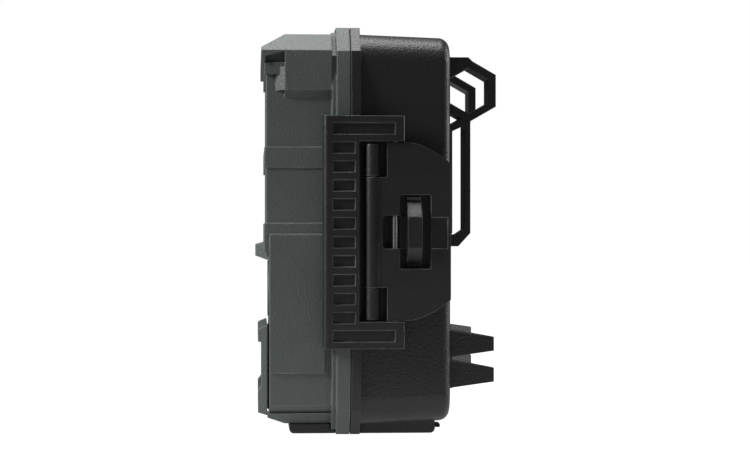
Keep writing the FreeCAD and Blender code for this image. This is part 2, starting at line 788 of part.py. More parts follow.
def strap_loop(label, side):
    """Six-sided cable ring, gusset, strap bar and struts, all one width."""
    loop = Piece(label)
    inner_x = size.loop_outer_x - size.loop_width
    low, high = (inner_x, size.loop_outer_x) if side > 0 else (-size.loop_outer_x, -inner_x)
    wall_y = size.rear_depth
    inside = size.ring_apothem - size.ring_bar
    loop.pad("YZ", low, high, ring_points(size.ring_y, size.ring_z, size.ring_apothem))
    loop.cut("YZ", low, high, ring_points(size.ring_y, size.ring_z, inside))
    loop.cut("YZ", low, high, rectangle(
        size.ring_y - size.ring_apothem, wall_y, size.ring_z - size.tooth_root, size.ring_z + size.tooth_root))
    # gusset block between the ring's top and the wall
    corner = size.ring_apothem / cos(radians(30))
    slope = tan(radians(30))
    top = size.gusset_z + size.gusset
    loop.pad("YZ", low, high, [
        (wall_y, size.gusset_z - size.gusset_drop),
        (size.ring_y, size.ring_z + corner - size.brace),
        (size.ring_y + size.gusset, top - size.gusset),
        (size.ring_y, top),
        (wall_y, top),
    ])
    # bar for the strap, its sloping foot and the strut at its head
    bar_back = size.bar_front + size.bar_thick
    ring_foot = size.ring_z - corner + size.brace
    loop.pad("YZ", low, high, [
        (size.bar_front, size.bar_low + size.bar_thick * slope),
        (wall_y, size.bar_foot + size.bar_thick),
        (wall_y, size.bar_foot),
        (size.bar_front - size.bar_thick, size.bar_foot),
        (bar_back, size.bar_low),
        (bar_back, ring_foot),
        (size.bar_front, ring_foot),
    ])
    loop.pad("YZ", low, high, [
        (wall_y, size.strut_foot),
        (bar_back, ring_foot - size.brace),
        (bar_back, ring_foot + size.brace),
        (size.bar_front, ring_foot + size.brace),
        (wall_y, size.strut_foot + size.strut),
    ])
    loop.pad("YZ", low, high, rectangle(
        wall_y, wall_y + size.bar_thick, size.bar_foot, size.bar_foot + size.bar_thick * 2))
    for z in (gusset_screw_z, foot_screw_z):
        reach = wall_y + size.bar_thick if z is foot_screw_z else wall_y + size.bar_thick * 2
        loop.cut("XZ", wall_y, reach - size.gusset / 2, Circle(
            loop_middle * side, z, size.screw_radius + size.screw_play))
    return loop


def tree_teeth(label, side):
    """Two tapered teeth that bite the bark; in plan each runs from a broad root to a narrow tip."""
    teeth = Piece(label)
    outer = size.loop_outer_x
    root = outer - size.tooth_root
    low, high = (root, outer) if side > 0 else (-outer, -root)
    back = size.rear_depth + size.tooth_plate
    half_root = size.tooth_height / 2
    half_tip = size.tooth_tip / 2
    teeth.pad("XZ", size.rear_depth, back, rectangle(
        low, high, size.lower_tooth_z - half_root, size.upper_tooth_z + half_root))
    for middle in (size.upper_tooth_z, size.lower_tooth_z):
        teeth.pad("YZ", low, high, [
            (size.rear_depth, middle - half_root),
            (size.tooth_tip_y, middle - half_tip),
            (size.tooth_tip_y, middle + half_tip),
            (size.rear_depth, middle + half_root),
        ])
        teeth.cut("XZ", size.rear_depth, back + size.gusset, Circle(
            (outer - size.tooth_root / 2) * side, middle, size.screw_radius + size.screw_play))
    teeth.cut("XY", 0, size.upper_tooth_z * 2, [
        (root * side, back + size.tooth_root / 4),
        ((outer - size.tooth_point) * side, size.tooth_tip_y),
        ((outer - size.tooth_point) * side, size.tooth_tip_y + size.bar_thick),
        (root * side, size.tooth_tip_y + size.bar_thick),
    ])
    return teeth


def bracket_screws_piece():
    """Eight screws from inside the rear shell into the loops and teeth."""
    screws = Piece("bracket_screws", several=True)
    inside = size.rear_depth - size.wall
    shanks = [Circle(x, z, size.screw_radius) for x, z in bracket_screws]
    heads = [Circle(x, z, size.head_radius) for x, z in bracket_screws]
    screws.pad("XZ", inside, size.rear_depth + size.gusset / 2, *shanks)
    screws.pad("XZ", inside - size.head, inside, *heads)
    return screws


def latch_pin():
    pin = Piece("latch_pin")
    pin.pad("XY", size.lug_low + size.gusset, size.lug_high - size.gusset,
            Circle(lever_x, size.lever_y, size.latch_rod - size.pin_play))
    return pin


def latch_lever():
    """Curved lever plate with its hinge barrel, the staple window, a bay and a shallow trough."""
    lever = Piece("latch_lever")
    curve = [((size.lever_bend * (8 - k) + size.lever_back * k) / 8, size.lever_sag * (k / 8) ** 1.7)
             for k in range(9)]
    outline = [(size.lever_slot, size.lever_low)]
    outline += [(y, size.lever_low + drop) for y, drop in curve]
    outline += [(y, size.lever_high - drop) for y, drop in reversed(curve)]
    outline += [(size.lever_slot, size.lever_high)]
    lever.pad("YZ", lever_inner, lever_outer, outline)
    lever.pad("YZ", lever_inner, lever_outer, rectangle(
        size.lever_y, size.lever_slot, size.barrel_low, size.barrel_high))
    lever.pad("XY", size.barrel_low, size.barrel_high, Circle(lever_x, size.lever_y, size.barrel))
    lever.cut("XY", size.barrel_low, size.barrel_high, Circle(lever_x, size.lever_y, size.latch_rod))
    lever.cut("YZ", lever_inner, lever_outer, rectangle(
        size.window_front, size.window_back, size.window_low, size.window_high))
    lever.cut("YZ", lever_inner, lever_outer, rectangle(
        size.bay_front, size.window_front, size.bay_low, size.bay_high))
    lever.soften("Fillet", size.bay_round, lambda edge: all(
        near(v.Y, size.bay_front.value) for v in edge.Vertexes) and runs_along(Vector(1, 0, 0))(edge))
    lever.cut("YZ", lever_outer - size.trough_sink, lever_outer, rectangle(
        size.window_back, size.trough_back, size.bay_low, size.staple_flat_high))
    lever.cut("XY", size.lever_low, size.lever_high, Circle(link_x, size.link_y, size.link_rod))
    return lever


def frame_pin():
    """Steel pin that joins the lever to both arms of the draw frame; it shows in the lever's bay."""
    pin = Piece("frame_pin")
    pin.pad("XY", size.lever_low - size.link_reach, size.lever_high + size.link_reach,
            Circle(link_x, size.link_y, size.link_rod - size.pin_play))
    return pin


def latch_frame():
    """C-shaped draw frame: a ribbed strip with a hook lip, and two arms to the lever."""
    frame = Piece("latch_frame")
    frame.pad("YZ", frame_inner, frame_outer, [
        (size.frame_front, size.frame_low),
        (size.frame_back, size.frame_low),
        (size.frame_back, size.arm_low),
        (size.frame_inner_y, size.arm_low),
        (size.frame_inner_y, size.arm_high),
        (size.frame_back, size.arm_high),
        (size.frame_back, size.frame_high),
        (size.frame_front, size.frame_high),
    ])
    frame.soften("Fillet", size.frame_round, lambda edge: all(
        near(v.X, frame_outer.value) and near(v.Y, size.frame_front.value) for v in edge.Vertexes))
    frame.soften("Fillet", size.frame_round / 2, lambda edge: all(
        near(v.X, frame_outer.value) and near(v.Y, size.frame_back.value) for v in edge.Vertexes))
    frame.pad("XY", size.frame_low, size.frame_high, rectangle(
        hook_x, frame_inner, size.frame_front, size.hook_back))
    slots = [rectangle(size.rib_front, size.rib_back, size.rib_first + size.rib_pitch * k,
                       size.rib_first + size.rib_pitch * k + size.rib_open) for k in range(10)]
    slots.append(rectangle(size.rib_front, size.arm_recess_back, size.frame_low + size.arm_recess_edge,
                           size.frame_low + size.arm_recess_edge + size.arm_recess))
    slots.append(rectangle(size.rib_front, size.arm_recess_back,
                           size.frame_high - size.arm_recess_edge - size.arm_recess,
                           size.frame_high - size.arm_recess_edge))
    frame.cut("YZ", frame_outer - size.rib_sink, frame_outer, *slots)
    rod = Circle(link_x, size.link_y, size.link_rod)
    frame.cut("XY", size.lever_low - size.link_reach, size.arm_low, rod)
    frame.cut("XY", size.arm_high, size.lever_high + size.link_reach, rod)
    return frame


def padlock_staple():
    """Faceted loop through the lever's window, with the ramp that guides the lever down."""
    staple = Piece("padlock_staple")
    bar = size.staple_bar
    staple.pad("XZ", size.staple_front, size.staple_back, [
        (seat_x, size.staple_low),
        (staple_foot, size.staple_low),
        (staple_shoulder, size.staple_low + size.staple_knee),
        (staple_out, size.staple_flat_low),
        (staple_out, size.staple_flat_high),
        (staple_shoulder, size.staple_high - size.staple_knee),
        (staple_foot, size.staple_high),
        (seat_x, size.staple_high),
    ])
    staple.cut("XZ", size.staple_front, size.staple_back, [
        (staple_foot, size.staple_low + bar),
        (staple_shoulder - bar / 2, size.staple_low + size.staple_knee + bar / 2),
        (staple_out - bar, size.staple_flat_low + bar / 2),
        (staple_out - bar, size.staple_flat_high - bar / 2),
        (staple_shoulder - bar / 2, size.staple_high - size.staple_knee - bar / 2),
        (staple_foot, size.staple_high - bar),
    ])
    staple.pad("XY", size.tongue_low, size.tongue_high, [
        (seat_x, size.tongue_front),
        (staple_foot - size.gusset / 2, size.tongue_front),
        (tongue_out, size.tongue_front + size.bar_thick),
        (tongue_out, size.staple_front),
        (seat_x, size.staple_front),
    ])
    return staple


def port_plug():
    """Rubber plug of the power inlet, hinged at its front edge, with a pull tab at the back."""
    plug = Piece("port_plug")
    left = size.inlet_x - size.plug_width / 2
    right = size.inlet_x + size.plug_width / 2
    plug_back = size.plinth_back
    bead = (size.plug_thick - size.plug_play) / 2
    plug.pad("XY", size.plug_play, size.plug_thick, rectangle(
        left, right, size.plug_front + bead, plug_back))
    plug.pad("YZ", left, right, Circle(size.plug_front + bead, size.plug_play + bead, bead))
    plug.pad("XY", size.plug_thick, size.rear_low, Circle(size.inlet_x, size.inlet_y, size.plug_stem))
    plug.pad("XY", size.plug_thick / 2, size.plug_thick, rectangle(
        size.inlet_x - size.plug_width / 4, size.inlet_x + size.plug_width / 4, plug_back, size.plug_tab))
    return plug


def dc_jack():
    jack = Piece("dc_jack")
    low = size.rear_low + size.wall
    jack.pad("XY", low, low + size.socket_depth, rectangle(
        size.inlet_x - size.inlet_radius, size.inlet_x + size.inlet_radius,
        size.inlet_y - size.inlet_radius, size.inlet_y + size.inlet_radius))
    jack.cut("XY", low, low + size.socket_depth - size.wall, Circle(
        size.inlet_x, size.inlet_y, size.plug_stem - size.gusset / 2))
    jack.pad("XY", low, low + size.socket_depth - size.gusset, Circle(
        size.inlet_x, size.inlet_y, size.screw_radius - size.plug_play))
    return jack


# Battery pack: two rows of four cells, each between a spring and a contact plate.
tray_low = size.rear_low + size.wall + size.socket_depth + size.tray_gap
cell_columns = [size.cell_pitch * k for k in (-1.5, -0.5, 0.5, 1.5)]
bay_length = size.spring_length + size.cell_length + size.contact + size.plug_play
row_starts = [tray_low + size.tray_wall, tray_low + size.tray_wall * 2 + bay_length]
tray_back = size.cell_y + size.cell_radius + size.tray_wall + size.plug_play


def battery_tray():
    tray = Piece("battery_tray")
    half = size.cell_pitch * 2
    top = row_starts[1] + bay_length + size.tray_wall
    tray.pad("XZ", size.tray_front, tray_back, rectangle(
        -(half + size.tray_wall), half + size.tray_wall, tray_low, top))
    for start in row_starts:
        tray.cut("XZ", size.tray_front, tray_back - size.tray_wall, rectangle(
            -half, half, start, start + bay_length))
    rib = size.pin_play * 8
    for start in row_starts:
        for k in (-1, 0, 1):
            middle = size.cell_pitch * k
            tray.pad("XZ", size.cell_y, tray_back, rectangle(
                middle - rib, middle + rib, start, start + bay_length))
    # feet that reach the back wall of the shell
    for side in (1, -1):
        for z in (tray_low + size.cell_pitch, top - size.cell_pitch):
            tray.pad("XZ", tray_back, size.rear_depth - size.wall - size.screw_play,
                     Circle(size.cell_pitch * side * 0.75, z, size.head_radius))
    return tray


def battery_cells():
    cells = Piece("battery_cells", several=True)
    for start in row_starts:
        low = start + size.spring_length
        high = low + size.cell_length
        cells.pad("XY", low, high - size.gusset, *[
            Circle(x, size.cell_y, size.cell_radius) for x in cell_columns])
        cells.pad("XY", high - size.gusset, high, *[
            Circle(x, size.cell_y, size.cell_radius * 0.38) for x in cell_columns])
    return cells


def battery_springs():
    springs = Piece("battery_springs", several=True)
    for start in row_starts:
        springs.pad("XY", start + size.screw_play, start + size.spring_length - size.screw_play, *[
            Circle(x, size.cell_y, size.spring_radius) for x in cell_columns])
    return springs


def battery_contacts():
    contacts = Piece("battery_contacts", several=True)
    for start in row_starts:
        low = start + size.spring_length + size.cell_length + size.screw_play
        contacts.pad("XY", low, low + size.contact, *[rectangle(
            x - size.spring_radius, x + size.spring_radius,
            size.cell_y - size.spring_radius, size.cell_y + size.spring_radius) for x in cell_columns])
    return contacts


def contact_places():
    return [(size.block_x, size.block_z + size.contact_pitch / 2 * k) for k in (-1, 1)]


def contact_block():
    """Block with two sprung pins that feed the front half when the case is shut."""
    block = Piece("contact_block")
    block.pad("XZ", size.tray_front, size.rear_depth - size.wall - size.screw_play, rectangle(
        size.block_x - size.block_half_x, size.block_x + size.block_half_x,
        size.block_z - size.block_half_z, size.block_z + size.block_half_z))
    block.pad("XZ", -(size.panel_back - size.contact_gap * 2), size.tray_front, *[
        Circle(x, z, size.contact_pin) for x, z in contact_places()])
    return block


def contact_pads():
    pads = Piece("contact_pads", several=True)
    pads.pad("XZ", -size.panel_back, -(size.panel_back - size.contact_gap), *[
        Circle(x, z, size.contact_pin * 2) for x, z in contact_places()])
    return pads


def flash_window():
    window = Piece("flash_window")
    half = size.flash_width / 2 + size.flash_rim - size.screw_play
    window.pad("XZ", -(size.front_depth - size.screw_play), -(size.front_depth - size.flash_thick), rectangle(
        -half, half, size.flash_z - size.flash_rim + size.screw_play,
        size.flash_z + size.flash_height + size.flash_rim - size.screw_play))
    return window


def led_places():
    middle = size.flash_z + size.flash_height / 2
    return [(size.led_pitch_x * column, middle + size.led_pitch_z * row)
            for row in (-1, 0, 1) for column in range(-4, 5)]


def led_board():
    board = Piece("led_board")
    board.pad("XZ", -(size.led_plane + size.board), -size.led_plane, rectangle(
        -(size.flash_width / 2 - size.pin_play), size.flash_width / 2 - size.pin_play,
        size.flash_z, size.flash_z + size.flash_height))
    return board


def ir_leds():
    leds = Piece("ir_leds", several=True)
    face = -(size.led_plane + size.board)
    leds.pad("XZ", -(size.front_depth - size.flash_thick - size.contact_gap), face, *[
        Circle(x, z, size.led_radius) for x, z in led_places()])
    return leds


def lens_window():
    window = Piece("lens_window")
    seat = -(size.lower_depth + size.bezel_proud - size.window_sunk)
    window.pad("XZ", seat, seat + size.window_thick, Circle(0, size.lens_z, size.window_radius))
    return window


barrel_back = -(size.sensor_plane + size.holder_depth / 2)
barrel_front = barrel_back - size.barrel_length


def lens_barrel():
    barrel = Piece("lens_barrel")
    barrel.pad("XZ", barrel_front, barrel_back, Circle(0, size.lens_z, size.barrel_radius))
    barrel.cut("XZ", barrel_front, barrel_back, Circle(
        0, size.lens_z, size.barrel_radius - size.barrel_wall))
    return barrel


def lens_elements():
    elements = Piece("lens_elements", several=True)
    glass = Circle(0, size.lens_z, size.barrel_radius - size.barrel_wall - size.screw_play)
    for k in range(3):
        front = barrel_front + size.barrel_length * (0.05 + 0.32 * k)
        elements.pad("XZ", front, front + size.barrel_length * 0.2, glass)
    return elements


filter_low = size.sensor_plane + size.window_thick
filter_high = filter_low + size.contact_pin


def lens_holder():
    """Square block on the sensor board with the lens thread and a cross slot for the filter."""
    holder = Piece("lens_holder")
    half = size.holder_size / 2
    back = -(size.sensor_plane + size.screw_play)
    front = -(size.sensor_plane + size.holder_depth)
    holder.pad("XZ", front, back, rectangle(-half, half, size.lens_z - half, size.lens_z + half))
    holder.cut("XZ", front, back, Circle(0, size.lens_z, size.barrel_radius + size.pin_play))
    holder.cut("YZ", -half, half, rectangle(
        -(filter_high + size.contact_gap), -(filter_low - size.contact_gap),
        size.lens_z - size.barrel_radius - size.contact_gap,
        size.lens_z + size.barrel_radius + size.contact_gap))
    return holder


def ir_cut_filter():
    """Filter slide that crosses the light path; it parks to one side at night."""
    slide = Piece("ir_cut_filter")
    slide.pad("XZ", -filter_high, -filter_low, rectangle(
        -(size.holder_size / 2), size.holder_size / 2 - size.filter_travel,
        size.lens_z - size.barrel_radius, size.lens_z + size.barrel_radius))
    return slide


def image_sensor():
    sensor = Piece("image_sensor")
    half = size.barrel_radius * 0.6
    sensor.pad("XZ", -(size.sensor_plane + size.pin_play * 12), -size.sensor_plane, rectangle(
        -half, half, size.lens_z - half, size.lens_z + half))
    return sensor


def sensor_board():
    board = Piece("sensor_board")
    half = size.holder_size / 2 + size.wall
    board.pad("XZ", -size.sensor_plane, -(size.sensor_plane - size.board * 0.75), rectangle(
        -half, half, size.lens_z - half, size.lens_z + half))
    return board


pir_half = size.pir_width / 2
pir_open_low = size.pir_low + size.pir_border
pir_open_high = size.pir_high - size.pir_border


def pir_bezel():
    """Frame of the motion window: thick lips at the top and bottom, a waist between them."""
    bezel = Piece("pir_bezel")
    back = size.lower_depth + size.pir_neck
    rim = size.pir_rim_y
    low_lip = size.pir_low + size.pir_low_lip
    high_lip = size.pir_high - size.pir_high_lip
    bezel.pad("YZ", -pir_half, pir_half, [
        (-back, size.pir_low),
        (-rim, size.pir_low + size.contact_pin),
        (-rim, low_lip),
        (-size.pir_waist_y, low_lip + size.pir_lip_slope),
        (-size.pir_waist_y, high_lip - size.contact_gap),
        (-rim, high_lip),
        (-rim, size.pir_high - size.pir_lip_slope),
        (-(rim - size.contact_pin), size.pir_high - size.contact_pin),
        (-back, size.pir_high),
    ])
    # the sides lean in towards the front
    for side in (1, -1):
        bezel.cut("XY", size.pir_low, size.pir_high, [
            (pir_half * side, -back),
            ((pir_half - size.pir_side) * side, -rim),
            (pir_half * side, -rim),
        ])
    neck_half = pir_half - size.bar_thick
    bezel.pad("XZ", -back, -size.lower_depth, rectangle(
        -neck_half, neck_half, size.pir_low + size.bar_thick, size.pir_high - size.bar_thick))
    seat = size.pir_film + size.contact_gap
    bezel.cut("XZ", -rim, -size.lower_depth, rectangle(
        -(pir_half - size.pir_border), pir_half - size.pir_border, pir_open_low, pir_open_high))
    bezel.cut("XZ", -(size.lower_depth + seat), -size.lower_depth, rectangle(
        -(pir_half - size.pir_border + size.bar_thick), pir_half - size.pir_border + size.bar_thick,
        pir_open_low - size.bar_thick, pir_open_high + size.bar_thick))
    return bezel


def pir_lens():
    """Moulded sheet with small lenses that gathers body heat onto the sensor."""
    film = Piece("pir_lens")
    half = pir_half - size.pir_border + size.bar_thick - size.screw_play
    rise = size.bar_thick - size.screw_play
    film.pad("XZ", -(size.lower_depth + size.pir_film), -(size.lower_depth + size.pin_play), rectangle(
        -half, half, pir_open_low - rise, pir_open_high + rise))
    return film


def pir_sensor():
    sensor = Piece("pir_sensor")
    middle = (size.pir_low + size.pir_high) / 2
    sensor.pad("XZ", board_front - size.contact_pin, board_front, Circle(0, middle, size.pir_can))
    sensor.pad("XZ", board_front - size.spring_length, board_front - size.contact_pin,
               Circle(0, middle, size.pir_can - size.pin_play * 10))
    return sensor


def front_sense(label, x, radius):
    """A small round part behind its hole in the middle of the front wall."""
    piece = Piece(label)
    piece.pad("XZ", -(size.front_depth - size.contact_pin / 2), cavity_front, Circle(
        x, size.sense_z, radius - size.screw_play))
    piece.pad("XZ", cavity_front, cavity_front + size.gusset, Circle(
        x, size.sense_z, size.sense_radius + size.contact_pin))
    return piece


def main_board():
    board = Piece("main_board")
    board.pad("XZ", board_front, -size.board_back, rectangle(
        -size.board_half, size.board_half, size.board_low, size.board_high))
    board.cut("XZ", board_front, -size.board_back, *[
        Circle(x, z, size.screw_radius + size.screw_play) for x, z in board_screws])
    return board


def fasteners(label, places, face, reach):
    """Screws whose heads sit on a face and whose shanks run forward into their columns."""
    screws = Piece(label, several=True)
    screws.pad("XZ", face, face + size.head, *[Circle(x, z, size.head_radius) for x, z in places])
    screws.pad("XZ", reach, face, *[Circle(x, z, size.screw_radius) for x, z in places])
    return screws


card_low_y = -(size.board_back - size.socket_wall - size.card_play)
card_high_y = card_low_y + size.card_thick
card_end = size.card_x + size.card_length
socket_end = card_end - size.card_out - size.card_play


def sd_socket():
    socket = Piece("sd_socket")
    back = card_high_y + size.card_play + size.socket_wall
    low = size.card_z - size.card_play - size.socket_wall
    high = size.card_z + size.card_width + size.card_play + size.socket_wall
    start = size.card_x - size.contact_pin * 2
    socket.pad("XZ", -size.board_back, back, rectangle(start, socket_end, low, high))
    socket.cut("XZ", card_low_y - size.card_play, card_high_y + size.card_play, rectangle(
        start + size.socket_wall, socket_end, size.card_z - size.card_play,
        size.card_z + size.card_width + size.card_play))
    return socket


def sd_card():
    card = Piece("sd_card")
    notch = size.card_out * 0.7
    card.pad("XZ", card_low_y, card_high_y, [
        (size.card_x, size.card_z),
        (card_end, size.card_z),
        (card_end, size.card_z + size.card_width),
        (size.card_x + notch, size.card_z + size.card_width),
        (size.card_x, size.card_z + size.card_width - notch),
    ])
    return card


usb_left = size.switch_x
usb_right = size.switch_x + size.holder_depth
usb_low = size.usb_z
usb_high = usb_low + size.usb_height


def usb_port():
    port = Piece("usb_port")
    back = -(size.panel_back + size.pin_play)
    port.pad("XZ", -size.board_back, back, rectangle(usb_left, usb_right, usb_low, usb_high))
    port.cut("XZ", -size.board_back + size.contact_pin, back, rectangle(
        usb_left + size.contact_pin, usb_right - size.contact_pin,
        usb_low + size.contact_pin, usb_high - size.contact_pin))
    return port


def lcd_screen():
    screen = Piece("lcd_screen")
    half = size.screen_width / 2
    screen.pad("XZ", -size.board_back, panel_front - size.pin_play, rectangle(
        -half, half, size.screen_z, size.screen_z + size.screen_height))
    return screen


KEYS = {
    "key_menu": (size.menu_x, size.key_z),
    "key_ok": (size.key_x, size.key_z),
    "key_up": (size.key_x, size.key_z + size.key_pitch),
    "key_down": (size.key_x, size.key_z - size.key_pitch),
    "key_left": (size.key_x - size.key_pitch, size.key_z),
    "key_right": (size.key_x + size.key_pitch, size.key_z),
}
flange_radius = size.key_radius + size.key_flange
flange_face = panel_front - size.pin_play
flange_floor = flange_face - size.key_flange


def key(label, x, z):
    """Domed push key: a cap through the panel over a flange that the panel holds in."""
    cap = Piece(label)
    cap.pad("XZ", flange_floor, flange_face, Circle(x, z, flange_radius))
    cap.pad("XZ", flange_face, size.key_proud, Circle(x, z, size.key_radius))
    cap.soften("Fillet", size.key_proud, lambda edge: all(
        near(v.Y, size.key_proud.value) for v in edge.Vertexes))
    return cap


def key_switches():
    switches = Piece("key_switches", several=True)
    top = flange_floor - size.key_travel - size.screw_play
    half = size.key_radius * 0.8
    switches.pad("XZ", -size.board_back, top, *[
        rectangle(x - half, x + half, z - half, z + half) for x, z in KEYS.values()])
    return switches


def inner_panel():
    """Black panel over the electronics, with the screen window and all the control openings."""
    panel = Piece("inner_panel")
    gap = size.panel_gap
    panel.pad("XZ", panel_front, -size.panel_back, case_outline(
        cavity_half - gap, cavity_low + gap, cavity_high - gap))
    half = size.screen_width / 2 - size.screen_border
    slot = size.switch_cap / 2 + size.card_play
    slot_reach = slot + size.switch_travel
    openings = [
        rectangle(-half, half, size.screen_z + size.screen_border,
                  size.screen_z + size.screen_height - size.screen_border),
        rectangle(size.switch_x - slot, size.switch_x + slot,
                  size.switch_z - slot_reach, size.switch_z + slot_reach),
        rectangle(usb_left - size.card_play, usb_right + size.card_play,
                  usb_low - size.card_play, usb_high + size.card_play),
        rectangle(socket_end - size.card_play, card_end + size.card_out * 2,
                  size.card_z - size.card_play, size.card_z + size.card_width + size.card_play),
    ]
    openings += [Circle(x, z, size.key_radius + size.key_play) for x, z in KEYS.values()]
    openings += [Circle(x, z, size.screw_radius + size.screw_play) for x, z in panel_screws]
    panel.cut("XZ", panel_front, -size.panel_back, *openings)
    return panel


def switch_body():
    body = Piece("switch_body")
    half = size.switch_cap / 2 + size.switch_travel
    body.pad("XZ", -size.board_back, panel_front - size.key_flange, rectangle(
        size.switch_x - half, size.switch_x + half, size.switch_z - half, size.switch_z + half))
    return body


def switch_slider():
    slider = Piece("switch_slider")
    half = size.switch_cap / 2
    seat = panel_front - size.key_flange + size.pin_play
    slider.pad("XZ", seat, -size.panel_back + size.contact_pin, rectangle(
        size.switch_x - half, size.switch_x + half, size.switch_z - half, size.switch_z + half))
    return slider


front_shell()
front_foot()
rear_shell()
seam_gasket()
tripod_insert()
hinge_pin()
for suffix, side in (("right", 1), ("left", -1)):
    strap_loop(f"strap_loop_{suffix}", side)
    tree_teeth(f"tree_teeth_{suffix}", side)
bracket_screws_piece()
latch_pin()
latch_lever()
frame_pin()
latch_frame()
padlock_staple()
port_plug()
dc_jack()
battery_tray()
battery_cells()
battery_springs()
battery_contacts()
contact_block()
contact_pads()
flash_window()
led_board()
ir_leds()
lens_window()
lens_barrel()
lens_elements()
lens_holder()
ir_cut_filter()
image_sensor()
sensor_board()
pir_bezel()
pir_lens()
pir_sensor()
front_sense("status_led", as_length(0), size.sense_radius)
front_sense("light_sensor", size.sense_pitch, size.sense_radius)
front_sense("microphone", -size.sense_pitch, size.sense_radius / 2)
main_board()
fasteners("board_screws", board_screws, -size.board_back, cavity_front + size.wall)
sd_socket()
sd_card()
usb_port()
lcd_screen()
inner_panel()
fasteners("panel_screws", panel_screws, -size.panel_back, cavity_front + size.wall)
for label, (x, z) in KEYS.items():
    key(label, x, z)
key_switches()
switch_body()
switch_slider()

doc.recompute()
bodies = [item for item in doc.Objects if item.TypeId == "PartDesign::Body"]
for item in doc.Objects:
    if "Invalid" in item.State or "Error" in item.State:
        raise RuntimeError(f"{item.Label} is {item.State}")
for body in bodies:
    if body.Shape.isNull() or not body.Shape.isValid():
        raise RuntimeError(f"{body.Label} has no valid shape")

os.makedirs("parts", exist_ok=True)
for body in bodies:
    body.Shape.exportStep(f"parts/{body.Label}.step")
print(len(bodies), "sub-parts written")
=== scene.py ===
import json
import math

import bmesh
import bpy
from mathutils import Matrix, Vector


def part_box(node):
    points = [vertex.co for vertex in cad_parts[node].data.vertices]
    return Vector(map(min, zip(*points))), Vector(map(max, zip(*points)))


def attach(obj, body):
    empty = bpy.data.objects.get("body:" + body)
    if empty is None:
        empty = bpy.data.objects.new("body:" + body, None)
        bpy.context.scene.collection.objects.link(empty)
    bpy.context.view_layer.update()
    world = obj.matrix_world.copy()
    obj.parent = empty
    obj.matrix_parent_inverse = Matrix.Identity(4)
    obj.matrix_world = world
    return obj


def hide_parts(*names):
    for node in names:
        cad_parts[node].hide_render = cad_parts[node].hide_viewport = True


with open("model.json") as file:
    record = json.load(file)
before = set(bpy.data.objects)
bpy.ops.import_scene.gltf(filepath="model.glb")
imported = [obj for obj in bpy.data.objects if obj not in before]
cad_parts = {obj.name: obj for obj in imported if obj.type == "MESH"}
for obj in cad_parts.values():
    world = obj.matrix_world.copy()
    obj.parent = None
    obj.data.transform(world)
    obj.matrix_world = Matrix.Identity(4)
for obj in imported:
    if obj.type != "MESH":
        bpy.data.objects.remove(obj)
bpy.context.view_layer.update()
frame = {"nodes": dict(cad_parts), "record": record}
mm = 0.001

bodyOf = {}
for bodyName, bodyNodes in frame["record"]["behaviour"]["bodies"].items():
    for nodeName in bodyNodes:
        bodyOf[nodeName] = bodyName
slotOf = {entry["node"]: entry["material_slot"] for entry in frame["record"]["subparts"]}


def linearFromHex(hexColour):
    channels = [int(hexColour[i:i + 2], 16) / 255 for i in (1, 3, 5)]
    return tuple(c / 12.92 if c <= 0.04045 else ((c + 0.055) / 1.055) ** 2.4 for c in channels) + (1.0,)


def addNode(tree, kind, settings=None, links=None):
    # a setting is a property, a socket (by name or number) or the two stops of a ramp
    node = tree.nodes.new(kind)
    for key, value in (settings or {}).items():
        if key == "stops":
            for element, (position, colour) in zip(node.color_ramp.elements, value):
                element.position = position
                element.color = colour
        elif isinstance(key, str) and hasattr(node, key):
            setattr(node, key, value)
        else:
            node.inputs[key].default_value = value
    for key, socket in (links or {}).items():
        tree.links.new(socket, node.inputs[key])
    return node


def perMetre(sizeMm):
    # a pattern's scale for cells of that size, with coordinates in metres
    return 1 / (sizeMm * mm)


black, white = (0, 0, 0, 1), (1, 1, 1, 1)


def newMaterial(name, surface):
    material = bpy.data.materials.new(name)
    material.use_nodes = True
    tree = material.node_tree
    tree.nodes.clear()
    shader = addNode(tree, "ShaderNodeBsdfPrincipled", surface)
    output = addNode(tree, "ShaderNodeOutputMaterial")
    tree.links.new(shader.outputs["BSDF"], output.inputs["Surface"])
    place = addNode(tree, "ShaderNodeTexCoord").outputs["Object"]
    return material, tree, shader, place


# how far the rounded normal has to turn from the flat one before an edge counts as rubbed
rubbing = {"startsAt": 0.99, "fullAt": 0.86}


